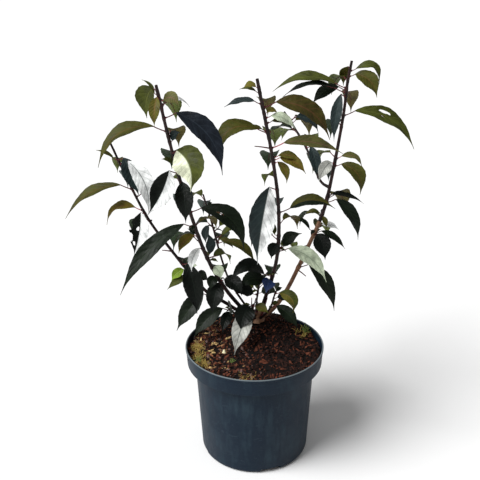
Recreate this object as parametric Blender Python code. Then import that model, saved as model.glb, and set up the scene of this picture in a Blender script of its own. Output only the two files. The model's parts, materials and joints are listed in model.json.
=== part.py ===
"""A young flowering cherry bush in a plastic nursery pot.

Five pruned stems rise from one woody stool in a pot of bark compost. The pot, the
compost, the stool, each bare lower stem and each leafy stem are separate solids, set
0.3 mm clear of each other. Lengths in the tables are centimetres; the model is metres.
+X is right, +Y is back, +Z is up, and the origin is the middle of the pot's underside.
"""

import math
import random

import bmesh
import bpy
from mathutils import Vector
from mathutils.bvhtree import BVHTree

CM = 0.01
SEAT_GAP = 0.0003           # clearance between neighbouring solids
SEED = 11

# Pot: a thin-walled moulding with a deep rim band and drainage notches round its foot.
POT_HEIGHT = 16.0 * CM
RIM_RADIUS = 9.5 * CM
RIM_LOWER_RADIUS = 9.3 * CM
RIM_BAND = 2.4 * CM         # height of the rim band
NECK_RADIUS = 8.2 * CM      # body radius just under the rim band
FOOT_RADIUS = 7.5 * CM
FOOT_ROUND = 0.6 * CM       # rounding of the foot's edge
POT_WALL = 0.2 * CM
POT_SIDES = 40
NOTCHES = 4
FIRST_NOTCH = math.radians(-74.0)
NOTCH_HALF_ANGLE = math.radians(11.0)
NOTCH_HEIGHT = 0.65 * CM
NOTCH_DEPTH = 1.4 * CM

# Compost: level near the wall, mounded round the stool towards the back.
COMPOST_LEVEL = 15.1 * CM
MOUND_HEIGHT = 1.9 * CM
MOUND_SPREAD = 4.6 * CM
STOOL_AT = Vector((0.3, 4.6)) * CM
STOOL_PAD = 1.6 * CM        # radius of the flat patch under the stool

# Stool: the woody crown that all stems grow from, cut flat at ground level.
STOOL_RADIUS = 1.15 * CM
STOOL_HEIGHT = 0.9 * CM
STUB_LENGTH = 1.6 * CM      # how much of each stem belongs to the stool

TUBE_STEP = 1.5 * CM         # length of one straight piece of a leafy stem

GOLDEN_ANGLE = math.radians(137.5)
PETIOLE_RADIUS = 0.085 * CM
PETIOLE_RISE = math.radians(25.0)
LEAF_THICKNESS = 0.013      # of the blade's length, at the midrib
LEAF_FOLD = 0.28            # how far the margins stand above the midrib, of half width
# Blade outline: distance along the midrib and half width, each as a share of its most.
BLADE = ((0.0, 0.08), (0.2, 0.74), (0.42, 1.0), (0.68, 0.72), (0.87, 0.24))
SMALL_BLADE = ((0.0, 0.12), (0.4, 1.0), (0.75, 0.5))
SMALL_LEAF = 3.2 * CM       # leaves shorter than this take the plainer outline

# Each stem: its line from the stool up, thickness at foot and tip, and the height at
# which its leaves begin. The line's points are (right, back, up) in centimetres.
STEMS = {
    "far_left": dict(
        line=((-0.3, 4.6, 17.3), (-3.8, 4.6, 19.8), (-7.0, 4.6, 22.1), (-11.7, 5.0, 28.4),
              (-14.6, 5.2, 33.0), (-17.0, 5.4, 38.5), (-18.8, 5.8, 42.9)),
        foot=0.52, tip=0.30, leafy=20.6),
    "left": dict(
        line=((-0.1, 4.5, 17.3), (-2.0, 3.9, 19.8), (-4.0, 3.2, 22.9), (-6.3, 1.6, 28.2),
              (-8.2, -0.6, 35.5), (-9.8, -3.6, 44.0), (-10.9, -7.0, 52.3)),
        foot=0.58, tip=0.36, leafy=22.2),
    "short": dict(
        line=((0.1, 5.0, 17.3), (-3.1, 6.4, 21.9), (-4.5, 8.0, 25.2), (-6.0, 10.0, 30.5),
              (-7.1, 11.5, 33.9)),
        foot=0.34, tip=0.24, leafy=26.5),
    "centre": dict(
        line=((0.5, 4.5, 17.3), (1.6, 3.8, 21.0), (3.1, 2.6, 27.5), (3.2, 1.2, 34.8),
              (2.3, -0.6, 42.1), (0.3, -3.0, 52.3)),
        foot=0.56, tip=0.38, leafy=23.0),
    "right": dict(
        line=((0.7, 4.7, 17.3), (2.8, 4.9, 18.8), (4.8, 5.4, 21.6), (7.5, 6.4, 27.2),
              (9.8, 7.4, 32.6), (11.0, 8.2, 38.0), (12.2, 9.0, 45.5), (12.6, 9.4, 49.6),
              (13.1, 9.6, 52.7)),
        foot=0.66, tip=0.36, leafy=23.6),
    "base_left": dict(
        line=((-0.1, 4.2, 17.3), (-2.2, 3.1, 18.7), (-3.6, 2.4, 20.2)),
        foot=0.34, tip=0.22, leafy=17.5),
    "base_front": dict(
        line=((0.2, 4.2, 17.3), (0.0, 2.9, 19.2), (-0.3, 2.2, 20.8)),
        foot=0.34, tip=0.22, leafy=17.5),
    "base_right": dict(
        line=((0.7, 4.3, 17.3), (2.2, 3.2, 19.6), (3.0, 2.6, 22.6)),
        foot=0.34, tip=0.22, leafy=17.5),
    "base_back": dict(
        line=((0.3, 5.0, 17.3), (0.5, 6.8, 19.2), (0.9, 8.2, 21.2)),
        foot=0.34, tip=0.22, leafy=17.5),
}
# The fork leaves the right stem and carries a mass of its own.
FORK = dict(
    parent="right", height=35.8,
    line=((9.3, 8.8, 36.7), (7.7, 11.5, 40.3), (5.8, 13.5, 43.4), (4.6, 14.5, 45.1)),
    foot=0.36, tip=0.26)

# Leaves that lead the outline. Each row: height on the stem; where the tip lies from
# the node (right, back, up); how high the midrib arches; width; and how many degrees
# the upper face turns to the front. Centimetres and degrees.
LEAVES = {
    "far_left": (
        (40.6, -2.9, 0.0, 1.4, 0.2, 0.8, 20),
        (40.6, 2.8, -2.5, -4.2, 0.2, 2.3, 60),
        (40.0, 3.7, -3.0, -6.1, 1.6, 2.4, 65),
        (36.6, -9.1, -1.0, -3.7, 1.2, 2.2, 20),
        (33.6, -5.1, 0.0, -2.0, 1.3, 2.1, 15),
        (33.2, -1.3, -4.0, -4.7, -0.4, 2.7, 75),
        (25.8, 2.0, -3.4, -6.0, 0.7, 2.8, 70),
        (24.9, -2.2, -0.8, -1.2, 0.3, 1.4, 60),
        (23.8, -3.7, -1.2, -1.3, 0.3, 1.2, 45),
        (21.0, -5.1, -2.2, -4.3, 0.4, 2.5, 55),
        (23.6, 2.0, -1.6, 0.4, 0.5, 1.8, 50),
        (24.8, 1.4, -1.2, 1.4, 0.3, 1.4, 50),
    ),
    "left": (
        (51.5, -1.6, 2.0, -3.3, 0.8, 2.8, 65),
        (51.1, -1.9, 1.0, 1.6, 0.3, 0.5, 20),
        (50.7, -0.5, -1.6, -2.8, 0.4, 1.3, 65),
        (50.4, 2.2, -1.0, -0.4, 0.6, 1.5, 60),
        (49.9, 3.1, 2.0, -0.6, 0.6, 0.8, 20),
        (48.3, 6.6, -2.0, -6.2, 1.5, 2.7, 50),
        (46.6, -8.0, -1.5, -3.8, 1.7, 2.3, 25),
        (45.3, 1.4, -0.8, 1.3, 0.3, 1.1, 60),
        (43.8, 2.2, -3.0, -3.9, 1.6, 3.8, 80),
        (42.2, -1.7, 0.0, 0.7, 0.2, 0.8, 30),
        (41.0, -3.6, -3.0, -4.3, -0.4, 2.9, 70),
        (39.6, 0.6, -2.6, -4.3, 0.6, 2.3, 75),
        (35.3, 6.8, -2.0, -4.6, 1.8, 2.8, 35),
        (33.0, -9.5, -4.6, -7.4, 1.2, 2.4, 40),
        (31.6, -2.5, -1.8, -1.7, 0.6, 1.4, 55),
        (29.6, -1.5, -1.6, -2.6, 0.6, 1.3, 60),
        (28.1, 0.2, 0.4, 3.4, 0.3, 1.5, 60),
        (24.8, -1.0, -1.6, -1.2, 0.5, 1.5, 50),
        (26.5, 1.2, -1.2, -1.2, 0.4, 1.6, 60),
        (24.2, 3.0, -2.4, -1.2, 0.7, 2.2, 45),
        (23.8, -1.2, -3.0, -3.2, 0.5, 2.5, 65),
        (49.5, 1.2, 4.6, -2.5, 1.0, 2.4, 0),
        (46.0, 0.8, 4.6, -2.4, 1.0, 2.6, 0),
        (43.0, -0.8, 4.8, -2.6, 1.0, 2.8, 0),
    ),
    "short": (
        (29.6, -1.0, 0.0, -2.6, 0.3, 1.3, 60),
        (28.0, 4.0, 1.0, 1.2, 0.6, 1.3, 20),
        (27.7, 2.4, -0.6, -1.0, 0.4, 1.0, 40),
        (27.3, 5.4, -1.0, -2.8, 0.9, 1.5, 40),
    ),
    "centre": (
        (51.2, -1.8, 0.0, 0.0, 0.3, 1.1, 30),
        (50.6, -2.4, 0.4, 0.4, 0.2, 0.7, 20),
        (49.2, -4.5, 0.2, -0.3, 0.3, 1.4, 20),
        (48.8, 7.9, -1.0, -3.7, 1.4, 2.8, 40),
        (48.1, 1.6, 0.0, 0.0, 0.3, 0.9, 30),
        (47.5, 3.5, -1.2, -1.0, 0.4, 1.4, 40),
        (46.8, 3.3, 0.4, -0.5, 0.3, 1.0, 30),
        (45.8, -3.4, 0.4, 0.0, 0.3, 1.0, 20),
        (45.6, -5.9, -2.0, -2.7, 2.1, 2.5, 30),
        (43.6, 8.7, -1.0, -0.5, 0.7, 1.9, 35),
        (42.3, 3.5, -0.6, -0.4, 0.4, 1.3, 30),
        (42.0, 4.0, -1.4, -1.4, 0.5, 1.6, 45),
        (41.6, 1.6, -1.0, -2.3, 0.5, 1.2, 50),
        (37.9, -2.6, -3.0, -9.0, 0.4, 3.4, 75),
        (34.5, 7.2, -1.0, 0.8, 1.1, 1.9, 35),
        (31.0, -1.8, 0.0, 2.2, 0.3, 1.1, 40),
        (29.8, -1.0, -1.6, -1.5, 0.4, 1.7, 60),
        (29.0, 3.2, 0.0, 2.2, 0.5, 1.8, 50),
        (28.6, 6.3, -3.0, -3.2, 1.1, 2.2, 45),
        (24.6, -5.9, -2.6, 0.3, 1.8, 2.2, 35),
        (24.0, -0.8, -2.4, -0.8, 0.4, 1.9, 65),
        (23.6, -4.4, -2.0, 0.0, 0.9, 2.2, 50),
        (49.0, 0.8, 4.4, -2.0, 1.0, 2.4, 0),
        (45.0, 1.0, 5.0, -2.4, 1.0, 2.8, 0),
        (42.0, -0.4, 4.8, -2.6, 1.0, 2.6, 0),
    ),
    "right": (
        (51.3, 3.8, -1.0, -1.5, 1.5, 1.5, 30),
        (50.6, 3.5, -2.2, -2.4, 0.8, 2.4, 50),
        (51.6, -0.5, 2.0, -2.5, 0.6, 1.5, 70),
        (49.1, -9.8, 1.0, -0.5, 1.3, 2.1, 25),
        (48.5, -8.5, -1.2, -0.2, 1.0, 1.8, 10),
        (48.8, -4.3, 2.0, -2.2, 0.6, 1.7, 60),
        (48.0, -1.6, -2.0, -5.6, 0.5, 1.5, 55),
        (45.5, 9.6, -1.2, -4.4, 1.6, 2.7, 35),
        (39.7, 3.8, 0.4, -1.4, 0.8, 1.3, 30),
        (38.7, 3.4, -2.0, -3.5, 1.3, 2.3, 40),
        (39.1, -2.3, -2.2, -1.9, 0.5, 1.7, 70),
        (34.6, 3.0, 0.0, -0.1, 0.3, 0.9, 30),
        (34.3, 5.3, 1.2, -1.2, 0.4, 0.9, 30),
        (33.7, 4.5, -1.2, -5.1, 0.9, 2.0, 50),
        (32.2, -2.4, 0.6, -0.4, 0.3, 0.9, 30),
        (31.8, 0.6, -1.4, -1.2, 0.2, 0.8, 50),
        (30.5, 2.9, -0.8, -0.3, 0.3, 1.0, 40),
        (29.7, -3.4, 0.4, 1.8, 0.6, 0.8, 30),
        (29.5, 4.2, -1.4, -1.9, 0.4, 1.2, 35),
        (29.3, 1.4, -2.6, -2.8, 0.5, 2.5, 75),
        (24.7, 5.0, -2.2, -5.8, 0.9, 2.3, 45),
        (50.0, -1.5, 4.5, -2.5, 1.0, 2.4, 0),
        (48.0, 1.5, 4.5, -3.0, 1.0, 2.4, 0),
        (44.0, -0.8, 4.8, -2.6, 1.0, 2.4, 0),
    ),
    "right_fork": (
        (40.5, 1.4, -2.4, -4.0, 0.5, 1.6, 70),
        (43.6, 2.6, 2.4, -1.6, 0.7, 1.8, 10),
        (42.2, -2.2, 3.2, -1.6, 0.7, 1.8, 0),
        (44.0, 4.2, 1.2, -2.2, 0.8, 2.0, 40),
    ),
    "base_left": (
        (19.7, -5.2, -2.0, -3.2, 0.6, 2.3, 50),
        (19.4, -1.5, -3.2, -1.6, 0.5, 1.6, 50),
        (20.0, 0.6, -2.8, 0.6, 0.5, 2.2, 60),
    ),
    "base_front": (
        (20.5, -1.7, -3.2, -2.1, 0.6, 2.8, 65),
        (19.6, -2.7, -5.4, -3.9, 0.6, 2.6, 60),
        (20.4, 2.2, -1.6, -0.3, 0.3, 1.3, 45),
    ),
    "base_right": (
        (22.2, 2.4, -1.6, -2.2, 1.2, 1.8, 55),
        (19.9, 3.7, -2.4, -2.2, 0.5, 1.9, 40),
        (21.4, 2.6, -0.8, 0.0, 0.4, 1.3, 50),
    ),
    "base_back": (
        (20.6, 2.8, 2.8, -2.0, 0.8, 2.6, 0),
        (20.2, -3.0, 2.4, -1.8, 0.8, 2.6, 0),
        (21.0, 0.4, 4.2, -1.8, 1.0, 2.8, 0),
        (19.8, -3.2, -0.8, 0.6, 0.5, 2.0, 40),
        (20.0, 2.8, -1.0, 0.4, 0.5, 1.8, 40),
    ),
}
# Leaves that fill the back and the inside: how many on each stem, between two heights.
BACK_LEAVES = {
    "far_left": (6, 25.0, 42.0), "left": (6, 24.0, 41.0), "short": (6, 27.0, 33.5),
    "centre": (6, 24.0, 40.0), "right": (6, 25.0, 41.0), "right_fork": (4, 38.5, 44.5),
}
BACK_SPREAD = math.radians(50.0)     # to each side of straight back


# ---------------------------------------------------------------- materials

def material(name, colour, roughness):
    made = bpy.data.materials.new(name)
    made.use_nodes = True
    shader = made.node_tree.nodes["Principled BSDF"]
    shader.inputs["Base Color"].default_value = (*colour, 1.0)
    shader.inputs["Roughness"].default_value = roughness
    shader.inputs["Metallic"].default_value = 0.0
    return made


def object_from(name, points, faces, finish):
    mesh = bpy.data.meshes.new(name)
    mesh.from_pydata([tuple(p) for p in points], [], faces)
    mesh.materials.append(finish)
    made = bpy.data.objects.new(name, mesh)
    bpy.context.scene.collection.objects.link(made)
    shape = bmesh.new()
    shape.from_mesh(mesh)
    bmesh.ops.recalc_face_normals(shape, faces=shape.faces)
    shape.to_mesh(mesh)
    shape.free()
    return made


# ---------------------------------------------------------------- pot and compost

def turned(profile, sides):
    """Points and faces of a closed profile of (radius, height) turned about Z."""
    points = [(r * math.cos(a), r * math.sin(a), z) for r, z in profile
              for a in (math.tau * k / sides for k in range(sides))]
    faces = []
    for row in range(len(profile) - 1):
        for k in range(sides):
            n = (k + 1) % sides
            a, b = row * sides + k, row * sides + n
            faces.append((a, b, b + sides, a + sides))
    last = (len(profile) - 1) * sides
    faces.append(tuple(range(sides))[::-1])
    faces.append(tuple(last + k for k in range(sides)))
    return points, faces


def inside_radius(height):
    """Radius of the pot's inner face at a height."""
    if height > POT_HEIGHT - RIM_BAND + POT_WALL:
        return RIM_LOWER_RADIUS - POT_WALL
    share = height / (POT_HEIGHT - RIM_BAND)
    return FOOT_RADIUS + (NECK_RADIUS - FOOT_RADIUS) * share - POT_WALL


def make_pot(finish):
    band = POT_HEIGHT - RIM_BAND
    shoulder = 0.25 * CM
    bead = 0.12 * CM
    outer = [(FOOT_RADIUS - FOOT_ROUND * (1 - math.sin(a)), FOOT_ROUND * (1 - math.cos(a)))
             for a in (math.radians(d) for d in (0, 45, 90))]
    outer += [(NECK_RADIUS, band - shoulder), (RIM_LOWER_RADIUS, band),
              (RIM_RADIUS, POT_HEIGHT - bead), (RIM_RADIUS - bead / 2, POT_HEIGHT)]
    ledge = band + POT_WALL
    inner = [(RIM_RADIUS - POT_WALL, POT_HEIGHT), (inside_radius(POT_HEIGHT), ledge),
             (inside_radius(band - shoulder), band - shoulder),
             (inside_radius(FOOT_ROUND), FOOT_ROUND),
             (inside_radius(0.0) - FOOT_ROUND + POT_WALL, POT_WALL)]
    pot = object_from("pot", *turned(outer + inner, POT_SIDES), finish)
    for index in range(NOTCHES):
        cut_notch(pot, FIRST_NOTCH + math.tau * index / NOTCHES)
    return pot


def cut_notch(pot, angle):
    """A low drainage opening through the foot's edge, open underneath."""
    steps = 4
    near, far = FOOT_RADIUS - NOTCH_DEPTH, FOOT_RADIUS + 1.0 * CM
    points = []
    for height in (-0.5 * CM, NOTCH_HEIGHT):
        for radius in (near, far):
            for k in range(steps + 1):
                a = angle + NOTCH_HALF_ANGLE * (2.0 * k / steps - 1.0)
                points.append((radius * math.cos(a), radius * math.sin(a), height))
    row = steps + 1
    bottom = list(range(row)) + list(range(2 * row - 1, row - 1, -1))
    top = [index + 2 * row for index in bottom]
    faces = [tuple(bottom[::-1]), tuple(top)]
    for k, first in enumerate(bottom):
        second = bottom[(k + 1) % len(bottom)]
        faces.append((first, second, second + 2 * row, first + 2 * row))
    cutter = object_from("notch_cutter", points, faces, pot.data.materials[0])
    combine(pot, "DIFFERENCE", cutter)


def combine(target, operation, other, solver="EXACT"):
    """Applies one Boolean of an object or a collection to the target, then removes it."""
    modifier = target.modifiers.new(operation.title(), "BOOLEAN")
    modifier.operation = operation
    modifier.solver = solver
    if isinstance(other, bpy.types.Collection):
        modifier.operand_type = "COLLECTION"
        modifier.collection = other
        used = list(other.objects)
    else:
        modifier.object = other
        used = [other]
    graph = bpy.context.evaluated_depsgraph_get()
    joined = bpy.data.meshes.new_from_object(target.evaluated_get(graph))
    target.modifiers.clear()
    target.data = joined
    for piece in used:
        bpy.data.objects.remove(piece)
    if isinstance(other, bpy.types.Collection):
        bpy.data.collections.remove(other)


def compost_height(x, y):
    away = (Vector((x, y)) - STOOL_AT).length
    beyond = max(0.0, away - STOOL_PAD)
    return COMPOST_LEVEL + MOUND_HEIGHT * math.exp(-((beyond / MOUND_SPREAD) ** 2))


GROUND = COMPOST_LEVEL + MOUND_HEIGHT     # height of the flat patch under the stool


def make_compost(finish):
    floor = POT_WALL + SEAT_GAP
    clear = SEAT_GAP / math.cos(math.pi / POT_SIDES)
    band = POT_HEIGHT - RIM_BAND
    lower = [(inside_radius(0.0) - FOOT_ROUND + POT_WALL - 2 * clear, floor),
             (inside_radius(FOOT_ROUND) - 2 * clear, FOOT_ROUND + clear),
             (inside_radius(band - 0.25 * CM) - 2 * clear, band - 0.25 * CM),
             (inside_radius(POT_HEIGHT) - 2 * clear, band + POT_WALL + 3 * clear)]
    points = []
    rings = 0
    for radius, height in lower:
        rings += 1
        for k in range(POT_SIDES):
            a = math.tau * k / POT_SIDES
            points.append((radius * math.cos(a), radius * math.sin(a), height))
    rim = inside_radius(POT_HEIGHT) - 2 * clear
    for share in (1.0, 0.8, 0.6, 0.4, 0.22):
        rings += 1
        centre = STOOL_AT * (1.0 - share)
        for k in range(POT_SIDES):
            a = math.tau * k / POT_SIDES
            x = centre.x + rim * share * math.cos(a)
            y = centre.y + rim * share * math.sin(a)
            points.append((x, y, compost_height(x, y)))
    faces = []
    for row in range(rings - 1):
        for k in range(POT_SIDES):
            n = (k + 1) % POT_SIDES
            a, b = row * POT_SIDES + k, row * POT_SIDES + n
            faces.append((a, b, b + POT_SIDES, a + POT_SIDES))
    faces.append(tuple(range(POT_SIDES))[::-1])
    points.append((STOOL_AT.x, STOOL_AT.y, GROUND))
    last = (rings - 1) * POT_SIDES
    for k in range(POT_SIDES):
        faces.append((last + k, last + (k + 1) % POT_SIDES, len(points) - 1))
    return object_from("compost", points, faces, finish)


# ---------------------------------------------------------------- stems

class Stem:
    """A smooth line through a stem's points, with its radius along it."""

    def __init__(self, line, foot, tip):
        knots = [Vector(p) * CM for p in line]
        ends = [2 * knots[0] - knots[1]] + knots + [2 * knots[-1] - knots[-2]]
        self.points = []
        for a, b, c, d in zip(ends, ends[1:], ends[2:], ends[3:]):
            for step in range(8):
                t = step / 8
                self.points.append(0.5 * (2 * b + (c - a) * t + (2 * a - 5 * b + 4 * c - d) * t * t
                                          + (3 * b - 3 * c + d - a) * t ** 3))
        self.points.append(knots[-1])
        self.lengths = [0.0]
        for p, q in zip(self.points, self.points[1:]):
            self.lengths.append(self.lengths[-1] + (q - p).length)
        self.whole = self.lengths[-1]
        self.foot, self.tip = foot * CM / 2, tip * CM / 2

    def at(self, distance):
        distance = min(max(distance, 0.0), self.whole)
        for k in range(len(self.lengths) - 1):
            if distance <= self.lengths[k + 1]:
                share = (distance - self.lengths[k]) / (self.lengths[k + 1] - self.lengths[k])
                return self.points[k].lerp(self.points[k + 1], share)
        return self.points[-1]

    def heading(self, distance):
        return (self.at(distance + 0.002) - self.at(distance - 0.002)).normalized()

    def radius(self, distance):
        return self.foot + (self.tip - self.foot) * distance / self.whole

    def at_height(self, height):
        """Distance along the stem at which it passes a height."""
        for k in range(len(self.points) - 1):
            low, high = self.points[k].z, self.points[k + 1].z
            if low <= height <= high:
                share = (height - low) / (high - low)
                return self.lengths[k] + share * (self.lengths[k + 1] - self.lengths[k])
        return self.whole


def tube(stem, start, end, sides, spacing, thicker=0.0):
    """Points and faces of a stem's length between two distances, cut square."""
    count = max(1, round((end - start) / spacing))
    points, faces = [], []
    for row in range(count + 1):
        distance = start + (end - start) * row / count
        along = stem.heading(distance)
        side = along.cross(Vector((0, 1, 0))).normalized()
        front = side.cross(along)
        radius = stem.radius(distance) + thicker
        for k in range(sides):
            a = math.tau * k / sides
            points.append(stem.at(distance) + radius * (math.cos(a) * side + math.sin(a) * front))
    for row in range(count):
        for k in range(sides):
            n = (k + 1) % sides
            a, b = row * sides + k, row * sides + n
            faces.append((a, b, b + sides, a + sides))
    faces.append(tuple(range(sides))[::-1])
    faces.append(tuple(count * sides + k for k in range(sides)))
    return points, faces


def make_stool(stems, finish):
    """The short woody crown: a squat flared foot with the stub of each stem."""
    rings = ((1.0, 0.0), (0.92, 0.35), (0.7, 0.75), (0.35, 1.0))
    sides = 10
    points = [(STOOL_AT.x + STOOL_RADIUS * r * math.cos(math.tau * k / sides),
               STOOL_AT.y + STOOL_RADIUS * r * math.sin(math.tau * k / sides),
               GROUND + SEAT_GAP + STOOL_HEIGHT * h)
              for r, h in rings for k in range(sides)]
    faces = [(row * sides + k, row * sides + (k + 1) % sides,
              (row + 1) * sides + (k + 1) % sides, (row + 1) * sides + k)
             for row in range(len(rings) - 1) for k in range(sides)]
    faces.append(tuple(range(sides))[::-1])
    faces.append(tuple((len(rings) - 1) * sides + k for k in range(sides)))
    stool = object_from("stool", points, faces, finish)
    stubs = bpy.data.collections.new("stubs")
    for name, stem in stems.items():
        stub = object_from("stub_" + name, *tube(stem, 0.0, STUB_LENGTH, 6, 0.8 * CM), finish)
        bpy.context.scene.collection.objects.unlink(stub)
        stubs.objects.link(stub)
    combine(stool, "UNION", stubs, "MANIFOLD")
    return stool


# ---------------------------------------------------------------- leaves

class Leaf:
    """One leaf: a petiole from its stem and an arching, folded blade."""

    def __init__(self, stem, height, reach, arch, width, turn):
        node = stem.at(stem.at_height(height * CM))
        reach = Vector(reach) * CM
        flat = Vector((reach.x, reach.y, 0.0))
        out = flat.normalized() if flat.length > 0.2 * CM else Vector((0, -1, 0))
        self.tip = node + reach
        stalk = min(1.7 * CM, 0.22 * reach.length)
        rise = out * math.cos(PETIOLE_RISE) + Vector((0, 0, 1)) * math.sin(PETIOLE_RISE)
        self.node = node
        self.base = node + stalk * rise
        chord = self.tip - self.base
        self.length = chord.length
        along = chord.normalized()
        up = Vector((0, 0, 1)) - along.z * along
        if up.length < 0.15:
            up = out - out.dot(along) * along
        up.normalize()
        front = Vector((0, -1, 0)) + along.y * along
        front.normalize()
        turn = math.radians(turn)
        self.face = (up * math.cos(turn) + front * math.sin(turn)).normalized()
        self.bend = (self.base + self.tip) / 2 + up * 2 * arch * CM
        self.half_width = width * CM / 2

    def spine(self, t):
        return self.base.lerp(self.bend, t).lerp(self.bend.lerp(self.tip, t), t)

    def frame(self, t):
        along = self.bend.lerp(self.tip, t) - self.base.lerp(self.bend, t)
        along.normalize()
        face = (self.face - self.face.dot(along) * along).normalized()
        return along.cross(face), face

    def solid(self, spare=0.0):
        """Points and faces of the closed leaf; spare thickens it all round."""
        thick = max(LEAF_THICKNESS * self.length, 0.0006) / 2 + spare
        # The petiole's rings turn from the blade's heading at its base to their own.
        side, face = self.frame(0.0)
        along = face.cross(side)
        rise = (self.base - self.node).normalized()
        stalk = PETIOLE_RADIUS + spare
        root = self.node.lerp(self.base, -0.02)
        points = []
        for centre, heading in ((root, rise), (self.base, (rise + along).normalized())):
            swing = along.rotation_difference(heading)
            across, above = stalk * (swing @ side), stalk * (swing @ face)
            points += [centre + across, centre + above, centre - across, centre - above]
        outline = BLADE if self.length > SMALL_LEAF else SMALL_BLADE
        for t, share in outline[1:]:
            side, face = self.frame(t)
            half = self.half_width * share + spare
            lift = face * half * LEAF_FOLD
            centre = self.spine(t)
            body = thick * (0.5 + 0.5 * share)
            points += [centre + side * half + lift, centre + face * body,
                       centre - side * half + lift, centre - face * body]
        points.append(self.tip + (self.tip - self.bend).normalized() * spare)
        faces = [(3, 2, 1, 0)]
        rows = len(points) // 4
        for row in range(rows - 1):
            for k in range(4):
                n = (k + 1) % 4
                a, b = row * 4 + k, row * 4 + n
                # Both sides of the blade are split along the same diagonals.
                if k < 2:
                    faces += [(a, b, b + 4), (a, b + 4, a + 4)]
                else:
                    faces += [(a, b, a + 4), (b, b + 4, a + 4)]
        last = (rows - 1) * 4
        faces += [(last + k, last + (k + 1) % 4, len(points) - 1) for k in range(4)]
        return points, faces


def back_leaves(name, stem):
    """Rows like those of LEAVES for the leaves that fill the back, by a seeded rule."""
    count, low, high = BACK_LEAVES.get(name, (0, 0.0, 0.0))
    dice = random.Random(SEED + sum(map(ord, name)))
    rows = []
    for k in range(count):
        height = low + (high - low) * (k + dice.uniform(0.2, 0.8)) / count
        swing = BACK_SPREAD * math.sin(GOLDEN_ANGLE * k + dice.uniform(-0.3, 0.3))
        size = dice.uniform(4.0, 7.0)
        reach = (size * 0.8 * math.sin(swing), size * 0.8 * math.cos(swing), -size * dice.uniform(0.25, 0.6))
        rows.append((height, *reach, size * 0.2, size * dice.uniform(0.36, 0.44), dice.uniform(-25, 15)))
    return rows


def tree_of(points, faces):
    return BVHTree.FromPolygons([tuple(p) for p in points], faces)


def make_mass(name, stem, start, finish, others):
    """A leafy stem: its own wood from a distance up, with leaves fused on.

    A leaf that would come within the seat gap of another solid is left off.
    """
    points, faces = tube(stem, start, stem.whole, 5, TUBE_STEP)
    mass = object_from("leaves_" + name, points, faces, finish)
    leaves = bpy.data.collections.new("growth_" + name)
    rows = list(LEAVES[name]) + back_leaves(name, stem)
    for height, right, back, up, arch, width, turn in rows:
        leaf = Leaf(stem, height, (right, back, up), arch, width, turn)
        guard = tree_of(*leaf.solid(2 * SEAT_GAP))
        if any(guard.overlap(tree) for tree in others.values()):
            continue
        piece = object_from("leaf", *leaf.solid(), finish)
        bpy.context.scene.collection.objects.unlink(piece)
        leaves.objects.link(piece)
    combine(mass, "UNION", leaves, "MANIFOLD")
    return mass


def surface_tree(obj):
    mesh = obj.data
    return BVHTree.FromPolygons([tuple(v.co) for v in mesh.vertices],
                                [tuple(p.vertices) for p in mesh.polygons])


def fork_of(parent):
    """The forking stem, and the distance along it at which it clears its parent."""
    branching = parent.at_height(FORK["height"] * CM)
    root = tuple(parent.at(branching) / CM)
    fork = Stem((root,) + FORK["line"], FORK["foot"], FORK["tip"])
    lean = parent.heading(branching).angle(fork.heading(SEAT_GAP))
    across = parent.radius(branching) + SEAT_GAP + fork.foot * math.cos(lean)
    return fork, across / math.sin(lean)


def main():
    for old in list(bpy.data.objects):
        bpy.data.objects.remove(old)
    plastic = material("pot_plastic", (0.035, 0.05, 0.065), 0.5)
    bark_chips = material("bark_compost", (0.09, 0.045, 0.025), 0.95)
    bark = material("stem_bark", (0.07, 0.03, 0.025), 0.7)
    foliage = material("leaf_green", (0.03, 0.05, 0.02), 0.45)

    built = {"pot": make_pot(plastic), "compost": make_compost(bark_chips)}
    stems = {name: Stem(row["line"], row["foot"], row["tip"]) for name, row in STEMS.items()}
    built["stool"] = make_stool(stems, bark)

    starts = {}
    for name, stem in stems.items():
        begin = STUB_LENGTH + SEAT_GAP
        leafy = stem.at_height(STEMS[name]["leafy"] * CM)
        if leafy - begin > 1.0 * CM:
            bough = object_from("stem_" + name, *tube(stem, begin, leafy, 6, 1.6 * CM), bark)
            built["stem_" + name] = bough
            begin = leafy + SEAT_GAP
        starts[name] = begin

    fork, fork_start = fork_of(stems[FORK["parent"]])
    stems["right_fork"] = fork
    starts["right_fork"] = fork_start

    others = {name: surface_tree(obj) for name, obj in built.items()}
    # The bare wood of every leafy stem is out of bounds for the other masses' leaves.
    for name, stem in stems.items():
        others["wood_" + name] = tree_of(*tube(stem, starts[name], stem.whole, 5, TUBE_STEP))
    for name, stem in stems.items():
        del others["wood_" + name]
        mass = make_mass(name, stem, starts[name], foliage, others)
        others["leaves_" + name] = surface_tree(mass)
        built["leaves_" + name] = mass


if __name__ == "__main__":
    main()
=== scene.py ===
"""A young flowering cherry bush in a plastic nursery pot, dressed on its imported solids.

Lengths in the tables are centimetres and the scene is in metres. +X is right, +Y is
back, +Z is up, and the origin is the middle of the pot's underside.
"""

import json
import math
import random

import bmesh
import bpy
from bpy.props import FloatProperty, FloatVectorProperty, IntProperty, PointerProperty
from mathutils import Matrix, Vector

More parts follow.
